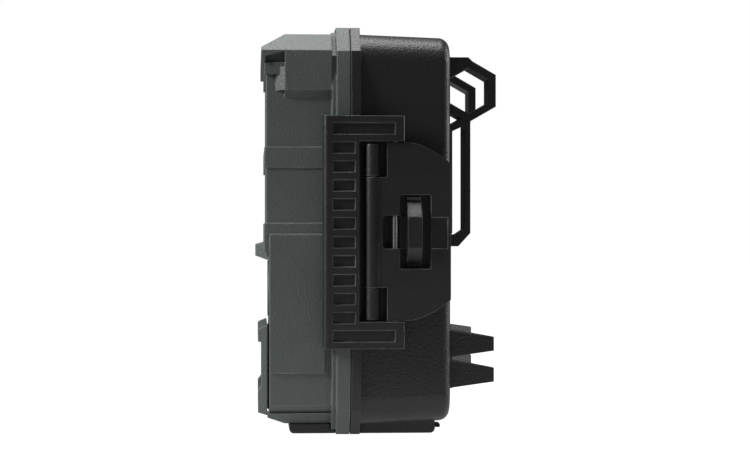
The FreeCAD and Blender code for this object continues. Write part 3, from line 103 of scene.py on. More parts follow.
def mouldedMaterial(look):
    # moulded or coated surface: cloudy tone, fine grain, softly rounded and rubbed edges
    material, tree, shader, place = newMaterial(look["name"], look.get("surface", {}))
    cloud = addNode(tree, "ShaderNodeTexNoise", {"Scale": perMetre(look["cloudMm"]), "Detail": 4.0},
                    {"Vector": place})
    grain = addNode(tree, "ShaderNodeTexNoise",
                    {"Scale": perMetre(look["grainMm"]), "Detail": 3.0, "Roughness": 0.6}, {"Vector": place})
    pits = addNode(tree, "ShaderNodeTexVoronoi",
                   {"feature": "SMOOTH_F1", "Scale": perMetre(look["grainMm"] * 1.3), "Smoothness": 0.6},
                   {"Vector": place})
    tone = addNode(tree, "ShaderNodeValToRGB",
                   {"stops": ((0.3, linearFromHex(look["darkHex"])),
                              (0.7, linearFromHex(look["baseHex"])))},
                   {"Fac": cloud.outputs["Fac"]})
    speck = addNode(tree, "ShaderNodeValToRGB", {"stops": ((0.35, black), (0.7, white))},
                    {"Fac": grain.outputs["Fac"]})
    amount = addNode(tree, "ShaderNodeMath", {"operation": "MULTIPLY", 1: look["speck"]},
                     {0: speck.outputs["Color"]})
    speckled = addNode(tree, "ShaderNodeMix", {"data_type": "RGBA", 7: linearFromHex(look["speckHex"])},
                       {0: amount.outputs[0], 6: tone.outputs["Color"]})
    # the rounded normal leaves the flat one only beside an edge, which is where hands rub
    rounded = addNode(tree, "ShaderNodeBevel", {"samples": 4, "Radius": look["edgeMm"] * mm})
    flat = addNode(tree, "ShaderNodeNewGeometry")
    match = addNode(tree, "ShaderNodeVectorMath", {"operation": "DOT_PRODUCT"},
                    {0: rounded.outputs["Normal"], 1: flat.outputs["Normal"]})
    edge = addNode(tree, "ShaderNodeMapRange",
                   {"From Min": rubbing["startsAt"], "From Max": rubbing["fullAt"]},
                   {"Value": match.outputs["Value"]})
    patch = addNode(tree, "ShaderNodeValToRGB", {"stops": ((0.3, black), (0.6, white))},
                    {"Fac": cloud.outputs["Fac"]})
    rubbed = addNode(tree, "ShaderNodeMath", {"operation": "MULTIPLY"},
                     {0: edge.outputs["Result"], 1: patch.outputs["Color"]})
    rubbedAmount = addNode(tree, "ShaderNodeMath", {"operation": "MULTIPLY", 1: look["wear"]},
                           {0: rubbed.outputs[0]})
    worn = addNode(tree, "ShaderNodeMix", {"data_type": "RGBA", 7: linearFromHex(look["wearHex"])},
                   {0: rubbedAmount.outputs[0], 6: speckled.outputs[2]})
    tree.links.new(worn.outputs[2], shader.inputs["Base Color"])
    rough = addNode(tree, "ShaderNodeMapRange",
                    {"To Min": look["roughness"] - look["roughSpread"],
                     "To Max": look["roughness"] + look["roughSpread"]}, {"Value": cloud.outputs["Fac"]})
    tree.links.new(rough.outputs["Result"], shader.inputs["Roughness"])
    height = addNode(tree, "ShaderNodeMath", {"operation": "ADD"},
                     {0: grain.outputs["Fac"], 1: pits.outputs["Distance"]})
    bump = addNode(tree, "ShaderNodeBump",
                   {"Strength": look["grainStrength"], "Distance": look["grainDepthMm"] * mm},
                   {"Height": height.outputs[0], "Normal": rounded.outputs["Normal"]})
    tree.links.new(bump.outputs["Normal"], shader.inputs["Normal"])
    return material


metalSkin = {"stainMm": 4.0, "roughShare": 0.25, "lineStrength": 0.35, "lineDepthMm": 0.02}


def brushedMetal(look):
    # turned, drawn or plated metal: fine lines one way, and a roughness that follows them
    material, tree, shader, place = newMaterial(look["name"], {"Metallic": 1.0})
    stretch = addNode(tree, "ShaderNodeMapping", {"Scale": look["stretch"]}, {"Vector": place})
    lines = addNode(tree, "ShaderNodeTexNoise", {"Scale": perMetre(look["lineMm"]), "Detail": 3.0},
                    {"Vector": stretch.outputs["Vector"]})
    stain = addNode(tree, "ShaderNodeTexNoise", {"Scale": perMetre(metalSkin["stainMm"]), "Detail": 4.0},
                    {"Vector": place})
    tone = addNode(tree, "ShaderNodeValToRGB",
                   {"stops": ((0.3, linearFromHex(look["darkHex"])),
                              (0.7, linearFromHex(look["baseHex"])))},
                   {"Fac": stain.outputs["Fac"]})
    tree.links.new(tone.outputs["Color"], shader.inputs["Base Color"])
    rough = addNode(tree, "ShaderNodeMapRange",
                    {"To Min": look["roughness"] * (1 - metalSkin["roughShare"]),
                     "To Max": look["roughness"] * (1 + metalSkin["roughShare"])},
                    {"Value": lines.outputs["Fac"]})
    tree.links.new(rough.outputs["Result"], shader.inputs["Roughness"])
    bump = addNode(tree, "ShaderNodeBump",
                   {"Strength": metalSkin["lineStrength"], "Distance": metalSkin["lineDepthMm"] * mm},
                   {"Height": lines.outputs["Fac"]})
    tree.links.new(bump.outputs["Normal"], shader.inputs["Normal"])
    return material


def clearMaterial(look):
    # glass, acrylic and epoxy: smooth, with faint dust that breaks the reflection
    material, tree, shader, place = newMaterial(look["name"], {
        "IOR": look["ior"], "Transmission Weight": look["transmission"],
        "Coat Weight": look.get("coat", 0.0), "Coat Roughness": 0.03})
    dust = addNode(tree, "ShaderNodeTexNoise", {"Scale": perMetre(look["dustMm"]), "Detail": 5.0},
                   {"Vector": place})
    tone = addNode(tree, "ShaderNodeValToRGB",
                   {"stops": ((0.35, linearFromHex(look["baseHex"])),
                              (0.75, linearFromHex(look["dustHex"])))},
                   {"Fac": dust.outputs["Fac"]})
    tree.links.new(tone.outputs["Color"], shader.inputs["Base Color"])
    rough = addNode(tree, "ShaderNodeMapRange",
                    {"From Min": 0.4, "From Max": 0.8, "To Min": look["roughness"],
                     "To Max": look["roughness"] + 0.06}, {"Value": dust.outputs["Fac"]})
    tree.links.new(rough.outputs["Result"], shader.inputs["Roughness"])
    return material


mouldedLooks = {
    # ABS, injection moulded on a spark-eroded tool: a dull grey-green skin that scatters the light
    "olive_grey_abs": {"name": "greyAbsSparkErodedMoulding", "baseHex": "#4f5654", "darkHex": "#49504e",
                       "speckHex": "#606765", "speck": 0.35, "cloudMm": 22.0, "grainMm": 0.5,
                       "grainStrength": 0.7, "grainDepthMm": 0.13, "roughness": 0.47, "roughSpread": 0.05,
                       "edgeMm": 0.6, "wearHex": "#a2a8a6", "wear": 0.7, "surface": {"IOR": 1.54}},
    # the same plastic in black, with a coarser skin: near black, with soft broad highlights
    "black_abs": {"name": "blackAbsSparkErodedMoulding", "baseHex": "#1b1b1c", "darkHex": "#18181a",
                  "speckHex": "#2c2c2d", "speck": 0.4, "cloudMm": 25.0, "grainMm": 0.55,
                  "grainStrength": 0.7, "grainDepthMm": 0.12, "roughness": 0.38, "roughSpread": 0.05,
                  "edgeMm": 0.6, "wearHex": "#6a6a6b", "wear": 0.45, "surface": {"IOR": 1.54}},
    # glass-filled nylon, moulded on a finer tool: black with crisp, slightly polished edges
    "black_nylon": {"name": "blackNylonMoulding", "baseHex": "#1e1e1f", "darkHex": "#1a1a1b",
                    "speckHex": "#2f2f30", "speck": 0.35, "cloudMm": 16.0, "grainMm": 0.4,
                    "grainStrength": 0.6, "grainDepthMm": 0.10, "roughness": 0.34, "roughSpread": 0.05,
                    "edgeMm": 0.5, "wearHex": "#8a8a8b", "wear": 0.75, "surface": {"IOR": 1.53}},
    # plain black inner mouldings: semi-matt, hardly any skin
    "black_plastic": {"name": "blackPolycarbonateMoulding", "baseHex": "#1d1d1e", "darkHex": "#18181a",
                      "speckHex": "#272728", "speck": 0.25, "cloudMm": 18.0, "grainMm": 0.35,
                      "grainStrength": 0.3, "grainDepthMm": 0.04, "roughness": 0.45, "roughSpread": 0.06,
                      "edgeMm": 0.3, "wearHex": "#4a4a4b", "wear": 0.3, "surface": {"IOR": 1.58}},
    # silicone rubber, compression moulded: soft black with a dusty bloom
    "gasket_rubber": {"name": "siliconeRubberMoulding", "baseHex": "#1b1b1b", "darkHex": "#151515",
                      "speckHex": "#2a2a29", "speck": 0.4, "cloudMm": 6.0, "grainMm": 0.3,
                      "grainStrength": 0.25, "grainDepthMm": 0.03, "roughness": 0.62, "roughSpread": 0.08,
                      "edgeMm": 0.4, "wearHex": "#3c3c3a", "wear": 0.3, "surface": {"IOR": 1.41}},
    # grey silicone key caps: satin, lighter where fingers polish them
    "key_rubber": {"name": "greySiliconeKeys", "baseHex": "#8a8e8d", "darkHex": "#7d8180",
                   "speckHex": "#989c9b", "speck": 0.3, "cloudMm": 5.0, "grainMm": 0.3,
                   "grainStrength": 0.2, "grainDepthMm": 0.03, "roughness": 0.55, "roughSpread": 0.08,
                   "edgeMm": 0.2, "wearHex": "#a5a9a8", "wear": 0.4, "surface": {"IOR": 1.41}},
    # acetal slider: orange, waxy
    "slider_plastic": {"name": "orangeAcetalMoulding", "baseHex": "#b4521c", "darkHex": "#a04716",
                       "speckHex": "#c4642c", "speck": 0.2, "cloudMm": 4.0, "grainMm": 0.3,
                       "grainStrength": 0.15, "grainDepthMm": 0.02, "roughness": 0.38, "roughSpread": 0.05,
                       "edgeMm": 0.25, "wearHex": "#d08a5c", "wear": 0.4, "surface": {"IOR": 1.48}},
    # polyethylene sheet with lenses pressed into it: milky, lets some light through
    "fresnel_film": {"name": "pressedPolyethyleneFilm", "baseHex": "#a4a6a2", "darkHex": "#989a96",
                     "speckHex": "#b0b2ae", "speck": 0.2, "cloudMm": 9.0, "grainMm": 0.25,
                     "grainStrength": 0.12, "grainDepthMm": 0.02, "roughness": 0.42, "roughSpread": 0.05,
                     "edgeMm": 0.1, "wearHex": "#dcdedb", "wear": 0.1,
                     "surface": {"IOR": 1.51, "Subsurface Weight": 0.25, "Subsurface Scale": 0.0008}},
    # glass-fibre laminate under green solder mask: glossy, with the weave just showing
    "board_laminate": {"name": "greenSolderMaskLaminate", "baseHex": "#1d5a37", "darkHex": "#174c2e",
                       "speckHex": "#2a6c45", "speck": 0.5, "cloudMm": 7.0, "grainMm": 0.6,
                       "grainStrength": 0.2, "grainDepthMm": 0.03, "roughness": 0.3, "roughSpread": 0.06,
                       "edgeMm": 0.1, "wearHex": "#7c8a5c", "wear": 0.4, "surface": {"IOR": 1.55}},
    # plain shrink sleeve on the cells: glossy dark film
    "battery_sleeve": {"name": "shrinkSleeveFilm", "baseHex": "#20242a", "darkHex": "#1b1f25",
                       "speckHex": "#2b3037", "speck": 0.2, "cloudMm": 12.0, "grainMm": 0.8,
                       "grainStrength": 0.1, "grainDepthMm": 0.03, "roughness": 0.24, "roughSpread": 0.05,
                       "edgeMm": 0.2, "wearHex": "#8d9093", "wear": 0.6,
                       "surface": {"IOR": 1.53, "Coat Weight": 0.3}},
    # memory card shell: blue-black, satin
    "card_plastic": {"name": "blueCardMoulding", "baseHex": "#232a4a", "darkHex": "#1d2340",
                     "speckHex": "#2e3659", "speck": 0.2, "cloudMm": 8.0, "grainMm": 0.3,
                     "grainStrength": 0.2, "grainDepthMm": 0.02, "roughness": 0.4, "roughSpread": 0.05,
                     "edgeMm": 0.2, "wearHex": "#5b6280", "wear": 0.4, "surface": {"IOR": 1.54}},
    # silicon die under its cover: dark violet sheen
    "sensor_die": {"name": "siliconDie", "baseHex": "#2d2738", "darkHex": "#241f30", "speckHex": "#3d3550",
                   "speck": 0.3, "cloudMm": 1.5, "grainMm": 0.2, "grainStrength": 0.1,
                   "grainDepthMm": 0.01, "roughness": 0.2, "roughSpread": 0.04, "edgeMm": 0.05,
                   "wearHex": "#5c5470", "wear": 0.2, "surface": {"IOR": 1.5, "Coat Weight": 0.6}},
}
metalLooks = {
    # free-cutting brass, turned: warm, with rings from the tool
    "brass": {"name": "turnedBrass", "baseHex": "#c9a55c", "darkHex": "#a98440", "lineMm": 0.4,
              "stretch": (1.0, 1.0, 6.0), "roughness": 0.3},
    # stainless rod, ground: fine lines round the pin
    "steel_pin": {"name": "groundStainlessRod", "baseHex": "#b4b5b6", "darkHex": "#97989a", "lineMm": 0.3,
                  "stretch": (1.0, 1.0, 8.0), "roughness": 0.28},
    # zinc-plated screws: slightly blue, dull in the recess
    "steel_screw": {"name": "zincPlatedSteel", "baseHex": "#a3a6a8", "darkHex": "#7f8386", "lineMm": 0.5,
                    "stretch": (1.0, 1.0, 1.0), "roughness": 0.36},
    # nickel on spring steel: bright with fine drawing lines
    "plated_spring": {"name": "nickelPlatedSpringSteel", "baseHex": "#c4c2bc", "darkHex": "#a5a39c",
                      "lineMm": 0.3, "stretch": (6.0, 1.0, 1.0), "roughness": 0.25},
    # thin gold over nickel: satin yellow
    "gold_pad": {"name": "goldFlashPad", "baseHex": "#d6b25a", "darkHex": "#bd9844", "lineMm": 0.3,
                 "stretch": (1.0, 1.0, 1.0), "roughness": 0.3},
    # aluminium, turned and anodised black: grey-black with faint thread-like lines
    "anodised_barrel": {"name": "blackAnodisedAluminium", "baseHex": "#2b2b2e", "darkHex": "#202023",
                        "lineMm": 0.35, "stretch": (1.0, 8.0, 1.0), "roughness": 0.38},
}
clearLooks = {
    # optical glass with a coating: nearly black from the front, with a faint violet bloom
    "lens_glass": {"name": "coatedOpticalGlass", "baseHex": "#e9eef4", "dustHex": "#ffffff", "ior": 1.52,
                   "transmission": 1.0, "roughness": 0.0, "dustMm": 2.0},
    "filter_glass": {"name": "coatedFilterGlass", "baseHex": "#9fdfe6", "dustHex": "#bff0f4", "ior": 1.52,
                     "transmission": 1.0, "roughness": 0.0, "dustMm": 2.0},
    # infrared-pass acrylic, polished: a black mirror with the lamps only just seen in it
    "dark_acrylic": {"name": "infraredPassAcrylic", "baseHex": "#140c0e", "dustHex": "#1c1315", "ior": 1.49,
                     "transmission": 0.25, "roughness": 0.02, "dustMm": 9.0, "coat": 0.3},
    "led_epoxy": {"name": "clearCastEpoxy", "baseHex": "#dfe4ea", "dustHex": "#f2f4f6", "ior": 1.55,
                  "transmission": 0.7, "roughness": 0.04, "dustMm": 1.5},
    # liquid-crystal glass, switched off: dark grey-green under a clear face
    "screen_glass": {"name": "screenGlassSwitchedOff", "baseHex": "#20272a", "dustHex": "#2a3236",
                     "ior": 1.52, "transmission": 0.0, "roughness": 0.05, "dustMm": 5.0, "coat": 0.8},
}
materials = {}
for slotName, look in mouldedLooks.items():
    materials[slotName] = mouldedMaterial(look)
for slotName, look in metalLooks.items():
    materials[slotName] = brushedMetal(look)
for slotName, look in clearLooks.items():
    materials[slotName] = clearMaterial(look)
print("materials made:", len(materials))


def finishPiece(piece, nodes, *moreSlots):
    # dress a piece, let it ride with its node's body, and let it stand for those nodes
    piece.data.materials.clear()
    for slotName in (slotOf[nodes[0]],) + moreSlots:
        piece.data.materials.append(materials[slotName])
    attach(piece, bodyOf[nodes[0]])
    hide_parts(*nodes)
    return piece


def objectFrom(name, mesh):
    piece = bpy.data.objects.new(name, mesh)
    bpy.context.scene.collection.objects.link(piece)
    return piece


# faces that meet at less than this are shaded as one smooth surface
sharpDeg = {"moulded": 28, "turned": 32, "fine": 60}


def markSharp(shape, limitDeg):
    for face in shape.faces:
        face.smooth = True
    for edge in shape.edges:
        edge.smooth = len(edge.link_faces) == 2 and edge.calc_face_angle(0.0) < math.radians(limitDeg)


def softenedPiece(nodeName, roundMm):
    # the designed shape, shaded smooth round its curves; with a radius, its edges are rounded too
    mesh = frame["nodes"][nodeName].data.copy()
    shape = bmesh.new()
    shape.from_mesh(mesh)
    bmesh.ops.remove_doubles(shape, verts=shape.verts, dist=0.002 * mm)
    if roundMm:
        bmesh.ops.dissolve_limit(shape, angle_limit=math.radians(0.4), verts=shape.verts, edges=shape.edges)
    markSharp(shape, sharpDeg["moulded"])
    shape.to_mesh(mesh)
    shape.free()
    piece = objectFrom(nodeName + "Softened", mesh)
    if roundMm:
        rounding = piece.modifiers.new("rounding", "BEVEL")
        rounding.width = roundMm * mm
        rounding.segments = 2
        rounding.limit_method = "ANGLE"
        rounding.angle_limit = math.radians(sharpDeg["moulded"])
    weighting = piece.modifiers.new("weighting", "WEIGHTED_NORMAL")
    weighting.keep_sharp = True
    return finishPiece(piece, [nodeName])


def addTurned(shape, rings, base, axis, steps=40, closed=False):
    # one turned form: rings of (height, radius, material index), in mm, along an axis from a base point
    along = Vector(axis)
    across = along.orthogonal().normalized()
    other = along.cross(across)
    loops = []
    for ring in rings:
        height, radius = ring[0] * mm, ring[1]
        loop = []
        for k in range(steps):
            angle = 2 * math.pi * k / steps
            reach = (radius(angle) if callable(radius) else radius) * mm
            side = across * math.cos(angle) + other * math.sin(angle)
            loop.append(shape.verts.new(Vector(base) + along * height + side * reach))
        loops.append(loop)
    pairs = list(zip(loops, loops[1:], rings))
    if closed:
        pairs.append((loops[-1], loops[0], rings[-1]))
    for lower, upper, ring in pairs:
        for k in range(steps):
            face = shape.faces.new((lower[k], lower[(k + 1) % steps], upper[(k + 1) % steps], upper[k]))
            face.material_index = ring[2] if len(ring) > 2 else 0
    if not closed:
        shape.faces.new(loops[0][::-1]).material_index = rings[0][2] if len(rings[0]) > 2 else 0
        shape.faces.new(loops[-1]).material_index = rings[-1][2] if len(rings[-1]) > 2 else 0


def turnedPiece(name, nodes, forms, *moreSlots, closed=False, steps=40):
    # forms: a list of (rings, base, axis)
    shape = bmesh.new()
    for rings, base, axis in forms:
        addTurned(shape, rings, base, axis, steps, closed)
    bmesh.ops.recalc_face_normals(shape, faces=shape.faces)
    markSharp(shape, sharpDeg["turned"])
    mesh = bpy.data.meshes.new(name)
    shape.to_mesh(mesh)
    shape.free()
    return finishPiece(objectFrom(name, mesh), nodes, *moreSlots)


def crossRadius(armMm, halfWidthMm):
    # outline of a cross recess, as a radius for each angle
    def radius(angle):
        off = abs((angle + math.pi / 4) % (math.pi / 2) - math.pi / 4)
        return min(armMm / math.cos(off), halfWidthMm / max(math.sin(off), 0.01))
    return radius


def spread(first, last, count):
    return [first + (last - first) * k / (count - 1) for k in range(count)]


front, rear, up = (0, -1, 0), (0, 1, 0), (0, 0, 1)


studio = {"floorSize": 8.0, "baseHex": "#777776", "darkHex": "#707070", "backdrop": 1.0, "fill": 0.11,
          "floorSeen": 1.0, "floorBounce": 0.50, "bounceFromM": 0.08, "bounceToM": 0.40,
          "bounceFar": 0.02}


def makeStudio():
    mesh = bpy.data.meshes.new("studioFloor")
    half = studio["floorSize"] / 2
    corners = [(-half, -half, 0), (half, -half, 0), (half, half, 0), (-half, half, 0)]
    mesh.from_pydata(corners, [], [(0, 1, 2, 3)])
    floor = objectFrom("studioFloor", mesh)
    # opal light table: the camera sees it evenly white, and it lifts the part's lower faces from below
    material, tree, shader, place = newMaterial("opalAcrylicLightTable",
                                                {"Roughness": 0.8, "Emission Color": white})
    cloud = addNode(tree, "ShaderNodeTexNoise", {"Scale": 3.0}, {"Vector": place})
    tone = addNode(tree, "ShaderNodeValToRGB",
                   {"stops": ((0.3, linearFromHex(studio["darkHex"])),
                              (0.7, linearFromHex(studio["baseHex"])))},
                   {"Fac": cloud.outputs["Fac"]})
    tree.links.new(tone.outputs["Color"], shader.inputs["Base Color"])
    ray = addNode(tree, "ShaderNodeLightPath")
    away = addNode(tree, "ShaderNodeVectorMath", {"operation": "LENGTH"}, {0: place})
    near = addNode(tree, "ShaderNodeMapRange",
                   {"From Min": studio["bounceFromM"], "From Max": studio["bounceToM"],
                    "To Min": studio["floorBounce"], "To Max": studio["bounceFar"]},
                   {"Value": away.outputs["Value"]})
    glow = addNode(tree, "ShaderNodeMapRange", {"To Max": studio["floorSeen"]},
                   {"Value": ray.outputs["Is Camera Ray"], "To Min": near.outputs["Result"]})
    tree.links.new(glow.outputs["Result"], shader.inputs["Emission Strength"])
    mesh.materials.append(material)
    world = bpy.data.worlds.new("studioWorld")
    bpy.context.scene.world = world
    world.use_nodes = True
    worldTree = world.node_tree
    worldTree.nodes.clear()
    seen = addNode(worldTree, "ShaderNodeBackground", {"Color": white, "Strength": studio["backdrop"]})
    fill = addNode(worldTree, "ShaderNodeBackground", {"Color": white, "Strength": studio["fill"]})
    worldRay = addNode(worldTree, "ShaderNodeLightPath")
    mix = addNode(worldTree, "ShaderNodeMixShader", links={
        0: worldRay.outputs["Is Camera Ray"], 1: fill.outputs[0], 2: seen.outputs[0]})
    output = addNode(worldTree, "ShaderNodeOutputWorld")
    worldTree.links.new(mix.outputs[0], output.inputs["Surface"])


softboxes = {
    "keyFromFront": {"place": (0.38, -0.90, 0.55), "aim": (0, 0, 0.07), "size": (0.22, 0.40), "power": 10.0},
    "topBox": {"place": (-0.05, -0.05, 0.80), "aim": (0, 0, 0.07), "size": (0.40, 0.55), "power": 5.0},
    "rearBox": {"place": (-0.20, 0.90, 0.40), "aim": (0, 0, 0.07), "size": (0.5, 0.7), "power": 5.0},
}


def makeLights():
    for name, box in softboxes.items():
        data = bpy.data.lights.new(name, "AREA")
        data.shape = "RECTANGLE"
        data.size, data.size_y = box["size"]
        data.energy = box["power"]
        lamp = bpy.data.objects.new(name, data)
        bpy.context.scene.collection.objects.link(lamp)
        lamp.location = box["place"]
        lamp.rotation_euler = (Vector(box["aim"]) - Vector(box["place"])).to_track_quat("-Z", "Y").to_euler()


def makeCamera():
    # level, from the latch side, a little towards the front; metres in the frame of the part
    view = {"place": (0.757, -0.0489, 0.06966), "aim": (0.040, -0.0075, 0.06966), "lensMm": 99.79}
    data = bpy.data.cameras.new("productCamera")
    data.lens = view["lensMm"]
    data.sensor_width = 36.0
    data.dof.use_dof = False
    camera = bpy.data.objects.new("productCamera", data)
    bpy.context.scene.collection.objects.link(camera)
    camera.location = view["place"]
    camera.rotation_euler = (Vector(view["aim"]) - Vector(view["place"])).to_track_quat("-Z", "Y").to_euler()
    bpy.context.scene.camera = camera


makeCamera()
makeStudio()
makeLights()
bpy.context.scene.view_settings.view_transform = "Standard"
print("studio ready")


def makeOptics():
    window = {"edgeMm": 8.55, "depthMm": 1.5}
    low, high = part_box("lens_window")
    middle = (low + high) / 2
    turnedPiece("lensCover", ["lens_window"], [([
        (0, window["edgeMm"]), (window["depthMm"] - 0.4, window["edgeMm"]), (window["depthMm"] - 0.2, 8.2),
        (window["depthMm"] - 0.08, 6.0), (window["depthMm"] - 0.02, 3.0), (window["depthMm"], 0.6)],
        (middle.x, high.y, middle.z), front)], steps=64)
    # barrel with a grip groove, a chamfered front land and a short taper into a plain bore
    low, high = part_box("lens_barrel")
    long = (high.y - low.y) / mm
    turnedPiece("lensBarrelTurned", ["lens_barrel"], [([
        (0, 6.0), (long - 3.4, 6.0), (long - 3.4, 5.7), (long - 2.8, 5.7), (long - 2.8, 6.0),
        (long - 0.4, 6.0), (long, 5.6), (long, 5.2), (long - 0.6, 4.98), (0, 4.98)],
        (middle.x, high.y, middle.z), front)], closed=True, steps=64)
    low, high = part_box("lens_elements")
    glass = [(0, 4.85), (1.5, 4.85), (1.75, 4.0), (1.95, 2.6), (2.05, 1.2), (2.08, 0.3)]
    turnedPiece("lensElementsGround", ["lens_elements"], [
        (glass, (middle.x, low.y + (2.1 + offset) * mm, middle.z), front)
        for offset in (0, 3.36, 6.72)], steps=48)


def makeLamps():
    # cast epoxy lamps with a bright reflector cup in each
    lamp = {"radiusMm": 2.2, "columns": 9, "rows": 3}
    low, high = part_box("ir_leds")
    long = (high.y - low.y) / mm
    body = [(0, 2.2), (0.6, 2.2), (0.6, 1.95), (long - 1.7, 1.95), (long - 1.0, 1.72), (long - 0.45, 1.2),
            (long - 0.12, 0.6), (long, 0.15)]
    cup = [(0.7, 0.5, 1), (0.7, 0.9, 1), (1.3, 1.3, 1), (1.3, 1.1, 1), (0.85, 0.6, 1)]
    edge = lamp["radiusMm"] * mm
    forms = []
    for x in spread(low.x + edge, high.x - edge, lamp["columns"]):
        for z in spread(low.z + edge, high.z - edge, lamp["rows"]):
            forms += [(body, (x, high.y, z), front), (cup, (x, high.y, z), front)]
    turnedPiece("infraredLamps", ["ir_leds"], forms, "plated_spring", steps=24)


def makeSmallFronts():
    for nodeName, capMm in (("status_led", 1.7), ("light_sensor", 1.7), ("microphone", 0.8)):
        low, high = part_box(nodeName)
        middle = (low + high) / 2
        long = (high.y - low.y) / mm
        turnedPiece(nodeName + "Domed", [nodeName], [([
            (0, 2.68), (1.65, 2.68), (1.7, capMm), (long - 0.55, capMm), (long - 0.2, capMm * 0.78),
            (long - 0.04, capMm * 0.4), (long, capMm * 0.1)],
            (middle.x, high.y, middle.z), front)], steps=32)
    low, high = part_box("pir_sensor")
    middle = (low + high) / 2
    turnedPiece("heatSensorCan", ["pir_sensor"], [([
        (0, 4.7), (0.5, 4.7), (0.6, 4.3), (2.8, 4.2), (3.1, 3.9), (3.2, 3.5), (3.2, 2.4, 1), (3.0, 2.3, 1)],
        (middle.x, high.y, middle.z), front)], "dark_acrylic", steps=40)


def makeLensSheet():
    # sheet with a grid of small pressed lenses
    sheet = {"columns": 9, "rows": 4, "domeMm": 0.42, "pointsPerLens": 8}
    low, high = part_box("pir_lens")
    acrossCount = sheet["columns"] * sheet["pointsPerLens"] + 1
    upCount = sheet["rows"] * sheet["pointsPerLens"] + 1
    shape = bmesh.new()
    fronts, backs = [], []
    for i in range(acrossCount):
        x = low.x + (high.x - low.x) * i / (acrossCount - 1)
        offX = (i / sheet["pointsPerLens"]) % 1 - 0.5 if i % sheet["pointsPerLens"] else 0.5
        for j in range(upCount):
            z = low.z + (high.z - low.z) * j / (upCount - 1)
            offZ = (j / sheet["pointsPerLens"]) % 1 - 0.5 if j % sheet["pointsPerLens"] else 0.5
            sink = sheet["domeMm"] * 2 * (offX ** 2 + offZ ** 2)
            fronts.append(shape.verts.new((x, low.y + sink * mm, z)))
            backs.append(shape.verts.new((x, high.y, z)))
    for i in range(acrossCount - 1):
        for j in range(upCount - 1):
            here, beside = i * upCount + j, (i + 1) * upCount + j
            corners = [here, beside, beside + 1, here + 1]
            shape.faces.new([fronts[c] for c in corners])
            shape.faces.new([backs[c] for c in reversed(corners)])
    rim = [i * upCount for i in range(acrossCount)] + \
          [(acrossCount - 1) * upCount + j for j in range(1, upCount)] + \
          [i * upCount + upCount - 1 for i in range(acrossCount - 2, -1, -1)] + \
          [j for j in range(upCount - 2, 0, -1)]
    for here, there in zip(rim, rim[1:] + rim[:1]):
        shape.faces.new((fronts[here], backs[here], backs[there], fronts[there]))
    bmesh.ops.recalc_face_normals(shape, faces=shape.faces)
    markSharp(shape, sharpDeg["fine"])
    mesh = bpy.data.meshes.new("pressedLensSheet")
    shape.to_mesh(mesh)
    shape.free()
    finishPiece(objectFrom("pressedLensSheet", mesh), ["pir_lens"])


makeOptics()
makeLamps()
makeSmallFronts()
makeLensSheet()
print("optics ready")


def makeFastenings():
    recess = crossRadius(1.05, 0.3)
    smallRecess = crossRadius(0.7, 0.2)
    head = [(0, 2.15), (0.75, 2.15), (1.1, 1.9), (1.35, 1.5), (1.4, 1.2), (1.4, recess), (0.6, smallRecess)]
    seam = -16.5
    panel = {"xMm": 40.5, "zMm": (34.0, 106.0), "faceMm": seam - 1.2, "shankMm": 21.2}
    bracket = {"placesMm": ((33.0, 126.98), (33.0, 65.9), (31.0, 30.9), (31.0, 20.2)),
               "faceMm": seam + 32.2, "shankMm": 3.1}
    panelForms = [([(-panel["shankMm"], 1.0), (-panel["shankMm"] + 0.3, 1.2), (0, 1.2)] + head,
                   (x * mm, panel["faceMm"] * mm, z * mm), rear)
                  for x in (-panel["xMm"], panel["xMm"]) for z in panel["zMm"]]
    turnedPiece("panelScrewsDriven", ["panel_screws"], panelForms)
    bracketForms = [([(-bracket["shankMm"], 1.0), (-bracket["shankMm"] + 0.3, 1.2), (0, 1.2)] + head,
                     (x * side * mm, bracket["faceMm"] * mm, z * mm), front)
                    for side in (-1, 1) for x, z in bracket["placesMm"]]
    turnedPiece("bracketScrewsDriven", ["bracket_screws"], bracketForms)


def makePins():
    for nodeName, radiusMm in (("hinge_pin", 1.5), ("latch_pin", 1.15), ("frame_pin", 0.85)):
        low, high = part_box(nodeName)
        middle = (low + high) / 2
        long = (high.z - low.z) / mm
        turnedPiece(nodeName + "Ground", [nodeName], [([
            (0, radiusMm * 0.75), (0.3, radiusMm), (long - 0.3, radiusMm), (long, radiusMm * 0.75)],
            (middle.x, middle.y, low.z), up)], steps=32)


def makeTripodInsert():
    insert = {"outerMm": 4.5, "threadMm": 2.55, "crestMm": 0.3, "pitchMm": 1.27, "deepMm": 7.6,
              "tallMm": 9.0, "mouthMm": 0.45}
    rings = [(insert["tallMm"], insert["outerMm"]), (0.3, insert["outerMm"]), (0, insert["outerMm"] - 0.3),
             (0, 3.3), (insert["mouthMm"], insert["threadMm"] + insert["crestMm"])]
    height = insert["mouthMm"]
    while height + insert["pitchMm"] < insert["deepMm"]:
        rings += [(height + insert["pitchMm"] * 0.5, insert["threadMm"]),
                  (height + insert["pitchMm"], insert["threadMm"] + insert["crestMm"])]
        height += insert["pitchMm"]
    rings.append((insert["deepMm"] + 0.2, insert["threadMm"]))
    turnedPiece("threadedInsert", ["tripod_insert"], [(rings, (0, 0, 0), up)], steps=48)


makeFastenings()
makePins()
makeTripodInsert()
print("fastenings ready")


